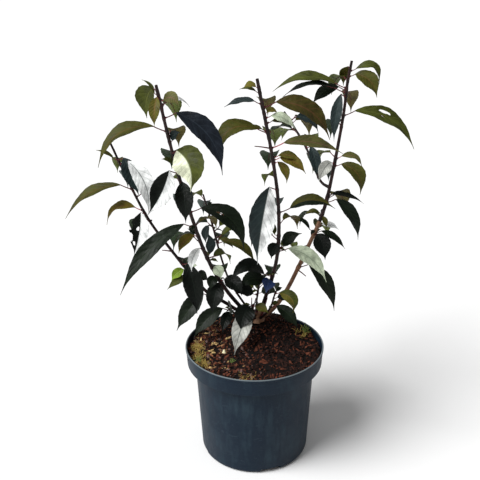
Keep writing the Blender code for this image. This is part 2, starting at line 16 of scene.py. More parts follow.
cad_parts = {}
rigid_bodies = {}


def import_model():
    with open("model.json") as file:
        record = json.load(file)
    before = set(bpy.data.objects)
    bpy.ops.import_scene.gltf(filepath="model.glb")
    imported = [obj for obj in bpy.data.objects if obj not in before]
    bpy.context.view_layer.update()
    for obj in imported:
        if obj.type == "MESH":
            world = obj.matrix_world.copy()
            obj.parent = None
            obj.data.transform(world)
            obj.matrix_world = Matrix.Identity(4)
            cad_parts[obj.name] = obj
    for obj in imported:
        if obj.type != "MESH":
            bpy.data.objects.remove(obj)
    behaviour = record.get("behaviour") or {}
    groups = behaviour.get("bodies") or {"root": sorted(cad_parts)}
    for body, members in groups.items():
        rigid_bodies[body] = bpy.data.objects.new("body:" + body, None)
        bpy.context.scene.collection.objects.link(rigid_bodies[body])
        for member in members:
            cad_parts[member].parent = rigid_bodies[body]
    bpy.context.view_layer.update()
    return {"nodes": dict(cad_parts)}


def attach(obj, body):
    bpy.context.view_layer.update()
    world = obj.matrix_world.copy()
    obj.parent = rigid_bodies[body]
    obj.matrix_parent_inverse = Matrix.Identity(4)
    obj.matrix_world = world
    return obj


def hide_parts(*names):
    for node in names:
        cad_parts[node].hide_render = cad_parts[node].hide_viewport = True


bl_info = {
    "name": "Potted Cherry Bush",
    "version": (1, 0, 0),
    "blender": (4, 5, 0),
    "location": "View3D > Sidebar > Cherry",
    "description": "Grows a young cherry bush in a nursery pot: stems, leaves, compost and pot",
    "category": "Object",
}

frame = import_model()

CM = 0.01
MM = 0.001
SEED = 11
GOLDEN_ANGLE = math.radians(137.5)
UP = Vector((0, 0, 1))
FRONT = Vector((0, -1, 0))

STOOL_AT = Vector((0.3, 4.6, 17.0)) * CM
STOOL_RADIUS = 1.15 * CM
PETIOLE_RISE = math.radians(25.0)
PETIOLE_RADIUS = 0.085 * CM
LARGE_LEAF = 3.2 * CM

LONGEST_PETIOLE = 1.7 * CM
PETIOLE_SHARE = 0.22           # of a leaf's whole length
KNOT_STEPS = 8                 # points from one knot of a stem to the next
STEM_RINGS = 2.5 * MM          # distance between the rings of a stem
BUD_FROM = 2.5 * CM            # longer leaves have a bud in the axil
STOOL_STUBS = 7
BASE_SHOOTS = 9

NOTCHES = 4
FIRST_NOTCH = math.radians(-74.0)
NOTCH_HALF_ANGLE = math.radians(11.0)
MOUND_TOP = 1.6 * CM           # level part of the mound, round the stool
MOUND_SLOPE = 4.6 * CM         # how far out the mound falls away
MOSS_WITHIN = 8.8 * CM

CAMERA_LENS = 52.65            # millimetres
CAMERA_AT = (-0.0185, -0.85, 0.644)
CAMERA_DOWN = 21.3             # degrees below the horizon
CAMERA_ROLL = -0.56            # degrees
SUN_HEADING = Vector((0.8, 0.38, -0.92))
FLOOR_HALF = 20                # metres

# The kinds of node that the trees below use most.
MATH, VECTOR, MIX = "ShaderNodeMath", "ShaderNodeVectorMath", "ShaderNodeMix"
NAMED, STORE = "GeometryNodeInputNamedAttribute", "GeometryNodeStoreNamedAttribute"
RANGE, NOISE, SPLIT = "ShaderNodeMapRange", "ShaderNodeTexNoise", "ShaderNodeSeparateXYZ"
COMPARE, SKIN = "FunctionNodeCompare", "GeometryNodeSetMaterial"

# Each stem: its line from the stool up in (right, back, up) centimetres, and its
# thickness at foot and tip.
STEMS = {
    "far_left": dict(
        line=((-0.3, 4.6, 17.3), (-3.8, 4.6, 19.8), (-7.0, 4.6, 22.1), (-11.7, 5.0, 28.4),
              (-14.6, 5.2, 33.0), (-17.0, 5.4, 38.5), (-18.8, 5.8, 42.9)),
        foot=0.52, tip=0.30),
    "left": dict(
        line=((-0.1, 4.5, 17.3), (-2.0, 3.9, 19.8), (-4.0, 3.2, 22.9), (-6.3, 1.6, 28.2),
              (-8.2, -0.6, 35.5), (-9.8, -3.6, 44.0), (-10.9, -7.0, 52.3)),
        foot=0.58, tip=0.36),
    "short": dict(
        line=((0.1, 5.0, 17.3), (-3.1, 6.4, 21.9), (-4.5, 8.0, 25.2), (-6.0, 10.0, 30.5),
              (-7.1, 11.5, 33.9)),
        foot=0.34, tip=0.24),
    "centre": dict(
        line=((0.5, 4.5, 17.3), (1.6, 3.8, 21.0), (3.1, 2.6, 27.5), (3.2, 1.2, 34.8),
              (2.3, -0.6, 42.1), (0.3, -3.0, 52.3)),
        foot=0.56, tip=0.38),
    "right": dict(
        line=((0.7, 4.7, 17.3), (2.8, 4.9, 18.8), (4.8, 5.4, 21.6), (7.5, 6.4, 27.2),
              (9.8, 7.4, 32.6), (11.0, 8.2, 38.0), (12.2, 9.0, 45.5), (12.6, 9.4, 49.6),
              (13.1, 9.6, 52.7)),
        foot=0.66, tip=0.36),
    "base_left": dict(
        line=((-0.1, 4.2, 17.3), (-2.2, 3.1, 18.7), (-3.6, 2.4, 20.2)), foot=0.34, tip=0.22),
    "base_front": dict(
        line=((0.2, 4.2, 17.3), (0.0, 2.9, 19.2), (-0.3, 2.2, 20.8)), foot=0.34, tip=0.22),
    "base_right": dict(
        line=((0.7, 4.3, 17.3), (2.2, 3.2, 19.6), (3.0, 2.6, 22.6)), foot=0.34, tip=0.22),
    "base_back": dict(
        line=((0.3, 5.0, 17.3), (0.5, 6.8, 19.2), (0.9, 8.2, 21.2)), foot=0.34, tip=0.22),
}
FORK = dict(
    parent="right", height=35.8,
    line=((9.3, 8.8, 36.7), (7.7, 11.5, 40.3), (5.8, 13.5, 43.4), (4.6, 14.5, 45.1)),
    foot=0.36, tip=0.26)

# Leaves. Each row: height on the stem; where the tip lies from the node (right, back,
# up); how high the midrib arches; width; degrees the upper face turns to the front; and
# its tint, or the tints of its left and right halves. Centimetres and degrees.
LEAVES = {
    "far_left": (
        (40.6, -2.9, 0.0, 1.4, 0.2, 0.8, 20, "olive"),
        (40.6, 2.8, -2.5, -4.2, 0.2, 2.3, 60, "slate"),
        (40.0, 3.7, -3.0, -6.1, 1.6, 2.4, 65, "silver"),
        (36.6, -9.1, -1.0, -3.7, 1.2, 2.2, 20, "olive"),
        (33.6, -5.1, 0.0, -2.0, 1.3, 2.1, 15, "amber"),
        # One half is a black leaf; the other half's upper side is a painted highlight.
        (33.2, -1.3, -4.0, -4.7, -0.4, 2.7, 75, "black|silver"),
        (25.8, 2.0, -3.4, -6.0, 0.7, 2.8, 70, "black"),
        (24.9, -2.2, -0.8, -1.2, 0.3, 1.4, 60, "bright"),
        (23.8, -3.7, -1.2, -1.3, 0.3, 1.2, 45, "green"),
        (21.0, -5.1, -2.2, -4.3, 0.4, 2.5, 55, "dark"),
        (23.6, 2.0, -1.6, 0.4, 0.5, 1.8, 50, "dark"),
        (24.8, 1.4, -1.2, 1.4, 0.3, 1.4, 50, "pale"),
    ),
    "left": (
        (51.5, -1.6, 2.0, -3.3, 0.8, 2.8, 65, "green"),
        (51.1, -1.9, 1.0, 1.6, 0.3, 0.5, 20, "green"),
        (50.7, -0.5, -1.6, -2.8, 0.4, 1.3, 65, "young"),
        (50.4, 2.2, -1.0, -0.4, 0.6, 1.5, 60, "blush"),
        (49.9, 3.1, 2.0, -0.6, 0.6, 0.8, 20, "silver"),
        (48.3, 6.6, -2.0, -6.2, 1.5, 2.7, 50, "navy"),
        (46.6, -8.0, -1.5, -3.8, 1.7, 2.3, 25, "olive"),
        (45.3, 1.4, -0.8, 1.3, 0.3, 1.1, 60, "slate"),
        # A painted highlight on one half and painted shade on the other: the green half stands in for the
        # shadow cast by the leaf above.
        (43.8, 2.2, -3.0, -3.9, 1.6, 3.8, 80, "cream|green"),
        (42.2, -1.7, 0.0, 0.7, 0.2, 0.8, 30, "green"),
        # One half is a black leaf; the other half's upper side is a painted highlight.
        (41.0, -3.6, -3.0, -4.3, -0.4, 2.9, 70, "black|silver"),
        (39.6, 0.6, -2.6, -4.3, 0.6, 2.3, 75, "black"),
        (35.3, 6.8, -2.0, -4.6, 1.8, 2.8, 35, "dark"),
        (33.0, -9.5, -4.6, -7.4, 1.2, 2.4, 40, "dark"),
        (31.6, -2.5, -1.8, -1.7, 0.6, 1.4, 55, "amber"),
        (29.6, -1.5, -1.6, -2.6, 0.6, 1.3, 60, "silver"),
        (28.1, 0.2, 0.4, 3.4, 0.3, 1.5, 60, "slate"),
        (24.8, -1.0, -1.6, -1.2, 0.5, 1.5, 50, "dark"),
        (26.5, 1.2, -1.2, -1.2, 0.4, 1.6, 60, "pale"),
        (24.2, 3.0, -2.4, -1.2, 0.7, 2.2, 45, "black"),
        (23.8, -1.2, -3.0, -3.2, 0.5, 2.5, 65, "black"),
        (49.5, 1.2, 4.6, -2.5, 1.0, 2.4, 0, "green"),
        (46.0, 0.8, 4.6, -2.4, 1.0, 2.6, 0, "olive"),
        (43.0, -0.8, 4.8, -2.6, 1.0, 2.8, 0, "dark"),
    ),
    "short": (
        (29.6, -1.0, 0.0, -2.6, 0.3, 1.3, 60, "slate"),
        (28.0, 4.0, 1.0, 1.2, 0.6, 1.3, 20, "green"),
        (27.7, 2.4, -0.6, -1.0, 0.4, 1.0, 40, "olive"),
        (27.3, 5.4, -1.0, -2.8, 0.9, 1.5, 40, "olive"),
    ),
    "centre": (
        (51.2, -1.8, 0.0, 0.0, 0.3, 1.1, 30, "young"),
        (50.6, -2.4, 0.4, 0.4, 0.2, 0.7, 20, "green"),
        (49.2, -4.5, 0.2, -0.3, 0.3, 1.4, 20, "slate"),
        (48.8, 7.9, -1.0, -3.7, 1.4, 2.8, 40, "bronze"),
        (48.1, 1.6, 0.0, 0.0, 0.3, 0.9, 30, "young"),
        (47.5, 3.5, -1.2, -1.0, 0.4, 1.4, 40, "pale"),
        (46.8, 3.3, 0.4, -0.5, 0.3, 1.0, 30, "olive"),
        (45.8, -3.4, 0.4, 0.0, 0.3, 1.0, 20, "olive"),
        (45.6, -5.9, -2.0, -2.7, 2.1, 2.5, 30, "olive"),
        (43.6, 8.7, -1.0, -0.5, 0.7, 1.9, 35, "blush"),
        (42.3, 3.5, -0.6, -0.4, 0.4, 1.3, 30, "young"),
        (42.0, 4.0, -1.4, -1.4, 0.5, 1.6, 45, "amber"),
        (41.6, 1.6, -1.0, -2.3, 0.5, 1.2, 50, "young"),
        # One half is a slate leaf; the other half's upper side is a painted highlight.
        (37.9, -2.6, -3.0, -9.0, 0.4, 3.4, 75, "slate|silver"),
        (34.5, 7.2, -1.0, 0.8, 1.1, 1.9, 35, "dark|olive"),
        (31.0, -1.8, 0.0, 2.2, 0.3, 1.1, 40, "green"),
        (29.8, -1.0, -1.6, -1.5, 0.4, 1.7, 60, "black"),
        (29.0, 3.2, 0.0, 2.2, 0.5, 1.8, 50, "dark"),
        (28.6, 6.3, -3.0, -3.2, 1.1, 2.2, 45, "pale"),
        (24.6, -5.9, -2.6, 0.3, 1.8, 2.2, 35, "black"),
        (24.0, -0.8, -2.4, -0.8, 0.4, 1.9, 65, "blue"),
        (23.6, -4.4, -2.0, 0.0, 0.9, 2.2, 50, "dark"),
        (49.0, 0.8, 4.4, -2.0, 1.0, 2.4, 0, "olive"),
        (45.0, 1.0, 5.0, -2.4, 1.0, 2.8, 0, "green"),
        (42.0, -0.4, 4.8, -2.6, 1.0, 2.6, 0, "dark"),
    ),
    "right": (
        (51.3, 3.8, -1.0, -1.5, 1.5, 1.5, 30, "green"),
        (50.6, 3.5, -2.2, -2.4, 0.8, 2.4, 50, "olive"),
        (51.6, -0.5, 2.0, -2.5, 0.6, 1.5, 70, "olive"),
        (49.1, -9.8, 1.0, -0.5, 1.3, 2.1, 25, "green"),
        (48.5, -8.5, -1.2, -0.2, 1.0, 1.8, 10, "black"),
        (48.8, -4.3, 2.0, -2.2, 0.6, 1.7, 60, "dark"),
        (48.0, -1.6, -2.0, -5.6, 0.5, 1.5, 55, "slate"),
        (45.5, 9.6, -1.2, -4.4, 1.6, 2.7, 35, "green"),
        (39.7, 3.8, 0.4, -1.4, 0.8, 1.3, 30, "blush"),
        (38.7, 3.4, -2.0, -3.5, 1.3, 2.3, 40, "olive"),
        (39.1, -2.3, -2.2, -1.9, 0.5, 1.7, 70, "pewter"),
        (34.6, 3.0, 0.0, -0.1, 0.3, 0.9, 30, "black"),
        (34.3, 5.3, 1.2, -1.2, 0.4, 0.9, 30, "black"),
        (33.7, 4.5, -1.2, -5.1, 0.9, 2.0, 50, "dark"),
        (32.2, -2.4, 0.6, -0.4, 0.3, 0.9, 30, "olive"),
        (31.8, 0.6, -1.4, -1.2, 0.2, 0.8, 50, "olive"),
        (30.5, 2.9, -0.8, -0.3, 0.3, 1.0, 40, "silver"),
        (29.7, -3.4, 0.4, 1.8, 0.6, 0.8, 30, "dark"),
        (29.5, 4.2, -1.4, -1.9, 0.4, 1.2, 35, "dark"),
        (29.3, 1.4, -2.6, -2.8, 0.5, 2.5, 75, "black"),
        (24.7, 5.0, -2.2, -5.8, 0.9, 2.3, 45, "dark"),
        (50.0, -1.5, 4.5, -2.5, 1.0, 2.4, 0, "green"),
        (48.0, 1.5, 4.5, -3.0, 1.0, 2.4, 0, "olive"),
        (44.0, -0.8, 4.8, -2.6, 1.0, 2.4, 0, "dark"),
    ),
    "right_fork": (
        (40.5, 1.4, -2.4, -4.0, 0.5, 1.6, 70, "slate"),
        (43.6, 2.6, 2.4, -1.6, 0.7, 1.8, 10, "olive"),
        (42.2, -2.2, 3.2, -1.6, 0.7, 1.8, 0, "green"),
        (44.0, 4.2, 1.2, -2.2, 0.8, 2.0, 40, "slate"),
    ),
    "base_left": (
        (19.7, -5.2, -2.0, -3.2, 0.6, 2.3, 50, "dark"),
        (19.4, -1.5, -3.2, -1.6, 0.5, 1.6, 50, "black"),
        (20.0, 0.6, -2.8, 0.6, 0.5, 2.2, 60, "dark"),
    ),
    "base_front": (
        (20.5, -1.7, -3.2, -2.1, 0.6, 2.8, 65, "black"),
        (19.6, -2.7, -5.4, -3.9, 0.6, 2.6, 60, "pewter"),
        (20.4, 2.2, -1.6, -0.3, 0.3, 1.3, 45, "olive"),
    ),
    "base_right": (
        (22.2, 2.4, -1.6, -2.2, 1.2, 1.8, 55, "young|green"),
        (19.9, 3.7, -2.4, -2.2, 0.5, 1.9, 40, "dark"),
        (21.4, 2.6, -0.8, 0.0, 0.4, 1.3, 50, "black"),
    ),
    "base_back": (
        (20.6, 2.8, 2.8, -2.0, 0.8, 2.6, 0, "dark"),
        (20.2, -3.0, 2.4, -1.8, 0.8, 2.6, 0, "green"),
        (21.0, 0.4, 4.2, -1.8, 1.0, 2.8, 0, "dark"),
        (19.8, -3.2, -0.8, 0.6, 0.5, 2.0, 40, "black"),
        (20.0, 2.8, -1.0, 0.4, 0.5, 1.8, 40, "dark"),
    ),
}
# Leaves that fill the back and the inside: how many on each stem, between two heights.
BACK_LEAVES = {
    "far_left": (6, 25.0, 42.0), "left": (6, 24.0, 41.0), "short": (6, 27.0, 33.5),
    "centre": (6, 24.0, 40.0), "right": (6, 25.0, 41.0), "right_fork": (4, 38.5, 44.5),
}
BACK_SPREAD = math.radians(50.0)
BACK_LENGTHS = (4.0, 7.0)
# Small leaves stand in the axils of leaves this long, up to this height.
AXIL_LENGTHS = (0.6, 1.5)
AXIL_LEAVES_BESIDE = 3.5
AXIL_LEAVES_BELOW = 33.0
BACK_TINTS = ("dark", "green", "dark", "olive", "slate", "green")
# Holes and bites eaten in a leaf: how much narrower than long they are across the blade,
# then each one's place along the midrib and across from it, and its size, as shares.
HOLES = {
    ("far_left", 33.2): (0.24, ((0.36, 0.12, 0.035), (0.7, 0.45, 0.04),
                                (0.34, 1.0, 0.07), (0.56, 1.0, 0.09))),
    ("left", 35.3): (0.6, ((0.27, 0.1, 0.06),)),
    ("right", 45.5): (1.0, ((0.36, -0.45, 0.09), (0.36, 0.1, 0.045))),
}
MOST_HOLES = 4
# Half width of a blade along it, as shares of its length and of its greatest half width.
OUTLINE = ((0.0, 0.05), (0.06, 0.34), (0.2, 0.78), (0.38, 1.0), (0.5, 0.95), (0.66, 0.7), (0.78, 0.38),
           (0.86, 0.16), (0.93, 0.06), (1.0, 0.02))

# How far up from its foot a stem wears old bark.
OLD_BARK = {"right": 17.0, "left": 2.0, "centre": 2.0}

# Moss and seedlings: place right and back, spread, how many strands, their length in
# millimetres, how far they lean, and 0 for dry moss, 1 for green, 2 for the cream fleck.
MOSS = (
    (-8.0, 0.2, 0.5, 170, 5.0, 1.3, 0), (-7.6, -2.4, 0.5, 170, 5.0, 1.3, 0),
    (-6.6, -4.2, 0.3, 90, 4.5, 1.2, 0), (-7.5, -3.1, 0.25, 24, 6.0, 0.9, 1),
    (7.4, 3.9, 0.3, 34, 8.5, 0.7, 1), (6.9, 3.1, 0.5, 30, 7.0, 1.2, 0),
    (-3.1, -3.6, 0.15, 14, 6.0, 0.9, 1), (-1.2, -7.4, 0.5, 40, 5.0, 1.3, 0),
    (-4.15, -2.2, 0.01, 1, 8.0, 0.3, 2),
)

# Short bare shoots: the stem, the height they leave it, and their tip from there.
SHOOTS = (
    ("left", 28.0, (1.3, -0.3, 0.5)), ("far_left", 27.7, (-1.4, -0.2, 0.3)),
    ("centre", 43.6, (-2.0, -0.4, 0.4)), ("right", 24.4, (1.2, -0.6, -0.8)),
)

# A bud's radius at each distance from its root, in millimetres.
BUD = ((0.0, 0.9), (1.0, 1.25), (2.2, 0.95), (3.4, 0.15))

# The tone above which a chip is each of the barks, from the wettest to the driest.
DRIER_FROM = (-1.0, 0.45, 0.78, 0.87, 0.98)

# Tints: upper side, underside, veins, and how rough the upper side is.
TINTS = {
    # A dark leaf with a blue sheen painted into its upper side.
    "navy": ("161c24", "4a5853", "283039", 0.42),
    # A dark leaf with a strong painted blue sheen on its upper side.
    "slate": ("1f2a2b", "56645e", "35413f", 0.45),
    "blue": ("213157", "4b5b64", "32446a", 0.36),
    "black": ("040a05", "26322b", "0f1711", 0.45),
    "dark": ("0c170a", "35442f", "1c2817", 0.46),
    "green": ("3c4212", "66723c", "555a26", 0.52),
    "olive": ("3d3f10", "5c5630", "56431c", 0.55),
    "bronze": ("38340c", "5f4c30", "543720", 0.55),
    "amber": ("5c5418", "76603a", "724e28", 0.55),
    "young": ("57561a", "7f7840", "7c5c34", 0.55),
    "blush": ("585a2e", "6f634b", "785a46", 0.55),
    "bright": ("6f8a22", "86a048", "93aa55", 0.55),
    # A pale green leaf with a whitish sheen painted into its upper side.
    "pale": ("b4bfa6", "95a08a", "7c8a74", 0.55),
    # A painted highlight: the sunlit glare on a glossy green leaf, painted near white.
    "cream": ("eaeed0", "cfd5b8", "8a9276", 0.60),
    # A painted highlight: the sun's white reflection on a glossy dark leaf, broken by grey veins.
    "silver": ("e3e5e4", "8b938d", "5e6462", 0.38),
    # A dimmer painted highlight: the sun's grey reflection on a glossy leaf.
    "pewter": ("b2b3ac", "7c837c", "4c514c", 0.38),
}
# The tints whose leaf stalks are pink.
PINK_STALKS = ("young", "blush", "bright", "amber")


# ---------------------------------------------------------------- colours and nodes

def linear(code):
    """An sRGB hex colour as linear RGBA."""
    parts = [int(code[k:k + 2], 16) / 255 for k in (0, 2, 4)]
    return (*[c / 12.92 if c <= 0.04045 else ((c + 0.055) / 1.055) ** 2.4 for c in parts], 1.0)


def colour(name, description, code):
    return FloatVectorProperty(name=name, description=description, default=linear(code),
                               size=4, min=0.0, max=1.0, subtype="COLOR")


def add(tree, kind, *feeds, **settings):
    """Adds one node and feeds its sockets in order, each by a value, an output, a list of
    outputs, or None to leave it. Gives back its output, or a list where it has several."""
    made = tree.nodes.new(kind)
    for name, value in settings.items():
        setattr(made, name, value)
    shown = [socket for socket in made.inputs if socket.enabled]
    for socket, feed in zip(shown, feeds):
        for source in feed if isinstance(feed, list) else [feed]:
            if isinstance(source, bpy.types.NodeSocket):
                tree.links.new(source, socket)
            elif source is not None:
                socket.default_value = source
    outputs = [socket for socket in made.outputs if socket.enabled]
    return outputs[0] if len(outputs) == 1 else outputs


def new_material(name, base, roughness, specular=0.5):
    made = bpy.data.materials.new(name)
    made.use_nodes = True
    shader = made.node_tree.nodes["Principled BSDF"]
    shader.inputs["Base Color"].default_value = base
    shader.inputs["Roughness"].default_value = roughness
    shader.inputs["Specular IOR Level"].default_value = specular
    return made, made.node_tree, shader


# ---------------------------------------------------------------- growth rules

class Stem:
    """A smooth line through a stem's points, with its radius along it."""

    def __init__(self, line, foot, tip):
        knots = [Vector(p) * CM for p in line]
        ends = [2 * knots[0] - knots[1]] + knots + [2 * knots[-1] - knots[-2]]
        self.points = []
        for a, b, c, d in zip(ends, ends[1:], ends[2:], ends[3:]):
            for step in range(KNOT_STEPS):
                t = step / KNOT_STEPS
                self.points.append(0.5 * (2 * b + (c - a) * t + (2 * a - 5 * b + 4 * c - d) * t * t
                                          + (3 * b - 3 * c + d - a) * t ** 3))
        self.points.append(knots[-1])
        self.lengths = [0.0]
        for p, q in zip(self.points, self.points[1:]):
            self.lengths.append(self.lengths[-1] + (q - p).length)
        self.whole = self.lengths[-1]
        self.foot, self.tip = foot * CM / 2, tip * CM / 2

    def at(self, distance):
        distance = min(max(distance, 0.0), self.whole)
        for k in range(len(self.lengths) - 1):
            if distance <= self.lengths[k + 1]:
                share = (distance - self.lengths[k]) / (self.lengths[k + 1] - self.lengths[k])
                return self.points[k].lerp(self.points[k + 1], share)
        return self.points[-1]

    def heading(self, distance):
        return (self.at(distance + 0.002) - self.at(distance - 0.002)).normalized()

    def radius(self, distance):
        return self.foot + (self.tip - self.foot) * distance / self.whole

    def at_height(self, height):
        """Distance along the stem at which it passes a height."""
        for k in range(len(self.points) - 1):
            low, high = self.points[k].z, self.points[k + 1].z
            if low <= height <= high:
                step = self.lengths[k + 1] - self.lengths[k]
                return self.lengths[k] + (height - low) / (high - low) * step
        return self.whole


class Leaf:
    """One leaf: a petiole from its stem and an arching, folded blade."""

    def __init__(self, stem, height, right, back, up, arch, width, turn, tint):
        self.away = stem.at_height(height * CM)
        self.node = stem.at(self.away)
        reach = Vector((right, back, up)) * CM
        flat = Vector((reach.x, reach.y, 0.0))
        out = flat.normalized() if flat.length > 0.2 * CM else FRONT.copy()
        self.tip = self.node + reach
        stalk = min(LONGEST_PETIOLE, PETIOLE_SHARE * reach.length)
        self.out = out
        self.base = self.node + stalk * (out * math.cos(PETIOLE_RISE) + UP * math.sin(PETIOLE_RISE))
        chord = self.tip - self.base
        self.length = chord.length
        along = chord.normalized()
        over = UP - along.z * along
        if over.length < 0.15:
            over = out - out.dot(along) * along
        over.normalize()
        front = (FRONT + along.y * along).normalized()
        turn = math.radians(turn)
        self.face = (over * math.cos(turn) + front * math.sin(turn)).normalized()
        self.bend = (self.base + self.tip) / 2 + over * 2 * arch * CM
        self.half_width = width * CM / 2
        self.tints = tint.split("|")
        self.hole_shape, self.holes = 1.0, ()

    def spine(self, t):
        return self.base.lerp(self.bend, t).lerp(self.bend.lerp(self.tip, t), t)

    def normal(self, t):
        along = (self.bend.lerp(self.tip, t) - self.base.lerp(self.bend, t)).normalized()
        return (self.face - self.face.dot(along) * along).normalized()


def back_leaves(name):
    """Rows like those of LEAVES for the leaves that fill the back, by a seeded rule."""
    count, low, high = BACK_LEAVES.get(name, (0, 0.0, 0.0))
    dice = random.Random(SEED + sum(map(ord, name)))
    rows = []
    for k in range(count):
        height = low + (high - low) * (k + dice.uniform(0.2, 0.8)) / count
        swing = BACK_SPREAD * math.sin(GOLDEN_ANGLE * k + dice.uniform(-0.3, 0.3))
        size = dice.uniform(*BACK_LENGTHS)
        reach = (size * 0.8 * math.sin(swing), size * 0.8 * math.cos(swing),
                 -size * dice.uniform(0.25, 0.6))
        rows.append((height, *reach, size * 0.2, size * dice.uniform(0.36, 0.44),
                     dice.uniform(-25, 15), BACK_TINTS[k % len(BACK_TINTS)]))
    return rows


def bud_leaves(name, rows):
    """Rows for the small leaves in the axils of the larger ones, by a seeded rule."""
    dice = random.Random(SEED * 3 + sum(map(ord, name)))
    small = []
    for height, right, back, up, *_, tint in rows:
        size = math.sqrt(right * right + back * back + up * up)
        if size < AXIL_LEAVES_BESIDE or height > AXIL_LEAVES_BELOW:
            continue
        for side in dice.choice(((-1,), (1,), (-1, 1))):
            reach = dice.uniform(*AXIL_LENGTHS)
            swing = math.atan2(back, right) + side * dice.uniform(0.5, 1.3)
            small.append((height + 0.15, reach * math.cos(swing), reach * math.sin(swing),
                          reach * dice.uniform(-0.3, 0.7), 0.15, reach * 0.42, dice.uniform(0, 50),
                          dice.choice((tint.split("|")[0], "dark", "green"))))
    return small


def grown_stems():
    """All stems by name, with the fork that leaves its parent."""
    stems = {name: Stem(row["line"], row["foot"], row["tip"]) for name, row in STEMS.items()}
    parent = stems[FORK["parent"]]
    root = tuple(parent.at(parent.at_height(FORK["height"] * CM)) / CM)
    stems["right_fork"] = Stem((root,) + FORK["line"], FORK["foot"], FORK["tip"])
    return stems


def grown_leaves(name, stem):
    rows = list(LEAVES[name]) + back_leaves(name)
    leaves = []
    for row in rows + bud_leaves(name, rows):
        leaf = Leaf(stem, *row)
        leaf.hole_shape, leaf.holes = HOLES.get((name, row[0]), (1.0, ()))
        leaves.append(leaf)
    return leaves


# ---------------------------------------------------------------- mesh and modifier helpers

def object_from(name, points, edges=(), faces=()):
    mesh = bpy.data.meshes.new(name)
    mesh.from_pydata([tuple(p) for p in points], list(edges), list(faces))
    made = bpy.data.objects.new(name, mesh)
    bpy.context.scene.collection.objects.link(made)
    return made


def turned(profile, sides):
    """A closed turned body from its (radius, height) profile: its points, edges and faces."""
    points = [(r * math.cos(math.tau * k / sides), r * math.sin(math.tau * k / sides), z)
              for r, z in profile for k in range(sides)]
    faces = [(row + k, row + (k + 1) % sides, row + sides + (k + 1) % sides, row + sides + k)
             for row in range(0, (len(profile) - 1) * sides, sides) for k in range(sides)]
    faces.append(tuple(range(sides))[::-1])
    faces.append(tuple(range(len(points) - sides, len(points))))
    return points, [], faces


def face_outwards(obj):
    shape = bmesh.new()
    shape.from_mesh(obj.data)
    bmesh.ops.recalc_face_normals(shape, faces=shape.faces)
    shape.to_mesh(obj.data)
    shape.free()


def store(obj, name, kind, values):
    """Gives each point of a mesh one value under a name."""
    attribute = obj.data.attributes.new(name, kind, "POINT")
    if kind == "FLOAT_VECTOR":
        attribute.data.foreach_set("vector", [c for value in values for c in value])
    else:
        attribute.data.foreach_set("value", list(values))


def new_tree(name, sockets):
    """A geometry tree with its geometry in and out, and named inputs with defaults."""
    tree = bpy.data.node_groups.new(name, "GeometryNodeTree")
    tree.interface.new_socket("Geometry", in_out="INPUT", socket_type="NodeSocketGeometry")
    tree.interface.new_socket("Geometry", in_out="OUTPUT", socket_type="NodeSocketGeometry")
    for label, kind, value in sockets:
        socket = tree.interface.new_socket(label, in_out="INPUT", socket_type="NodeSocket" + kind)
        socket.default_value = value
    return tree, tree.nodes.new("NodeGroupInput").outputs


def coat(tree, made, name, limits, skins):
    """Gives each face the last skin whose limit its stored value is above."""
    for least, skin in zip(limits, skins):
        value = add(tree, NAMED, name)[0]
        chosen = add(tree, COMPARE, value, least, operation="GREATER_THAN")
        made = add(tree, SKIN, made, chosen, skin)
    return made


def keep_result(obj):
    """Turns what an object's modifiers make into its plain mesh."""
    graph = bpy.context.evaluated_depsgraph_get()
    old = obj.data
    obj.data = bpy.data.meshes.new_from_object(obj.evaluated_get(graph))
    obj.modifiers.clear()
    bpy.data.meshes.remove(old)
    obj.data.name = obj.name


def grow(obj, tree, values=None):
    """Runs a geometry tree on an object and keeps the result as its plain mesh."""
    modifier = obj.modifiers.new(tree.name, "NODES")
    modifier.node_group = tree
    for item in tree.interface.items_tree:
        if item.in_out == "INPUT" and item.name in (values or {}):
            modifier[item.identifier] = values[item.name]
    keep_result(obj)


def smooth(obj, degrees=180):
    obj.data.polygons.foreach_set("use_smooth", [True] * len(obj.data.polygons))
    obj.data.set_sharp_from_angle(angle=math.radians(degrees))


def finish(obj, slot, *nodes):
    """Puts a piece on the plant's one body and hides the nodes it stands for."""
    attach(obj, "root")
    if nodes:
        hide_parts(*nodes)


# ---------------------------------------------------------------- materials

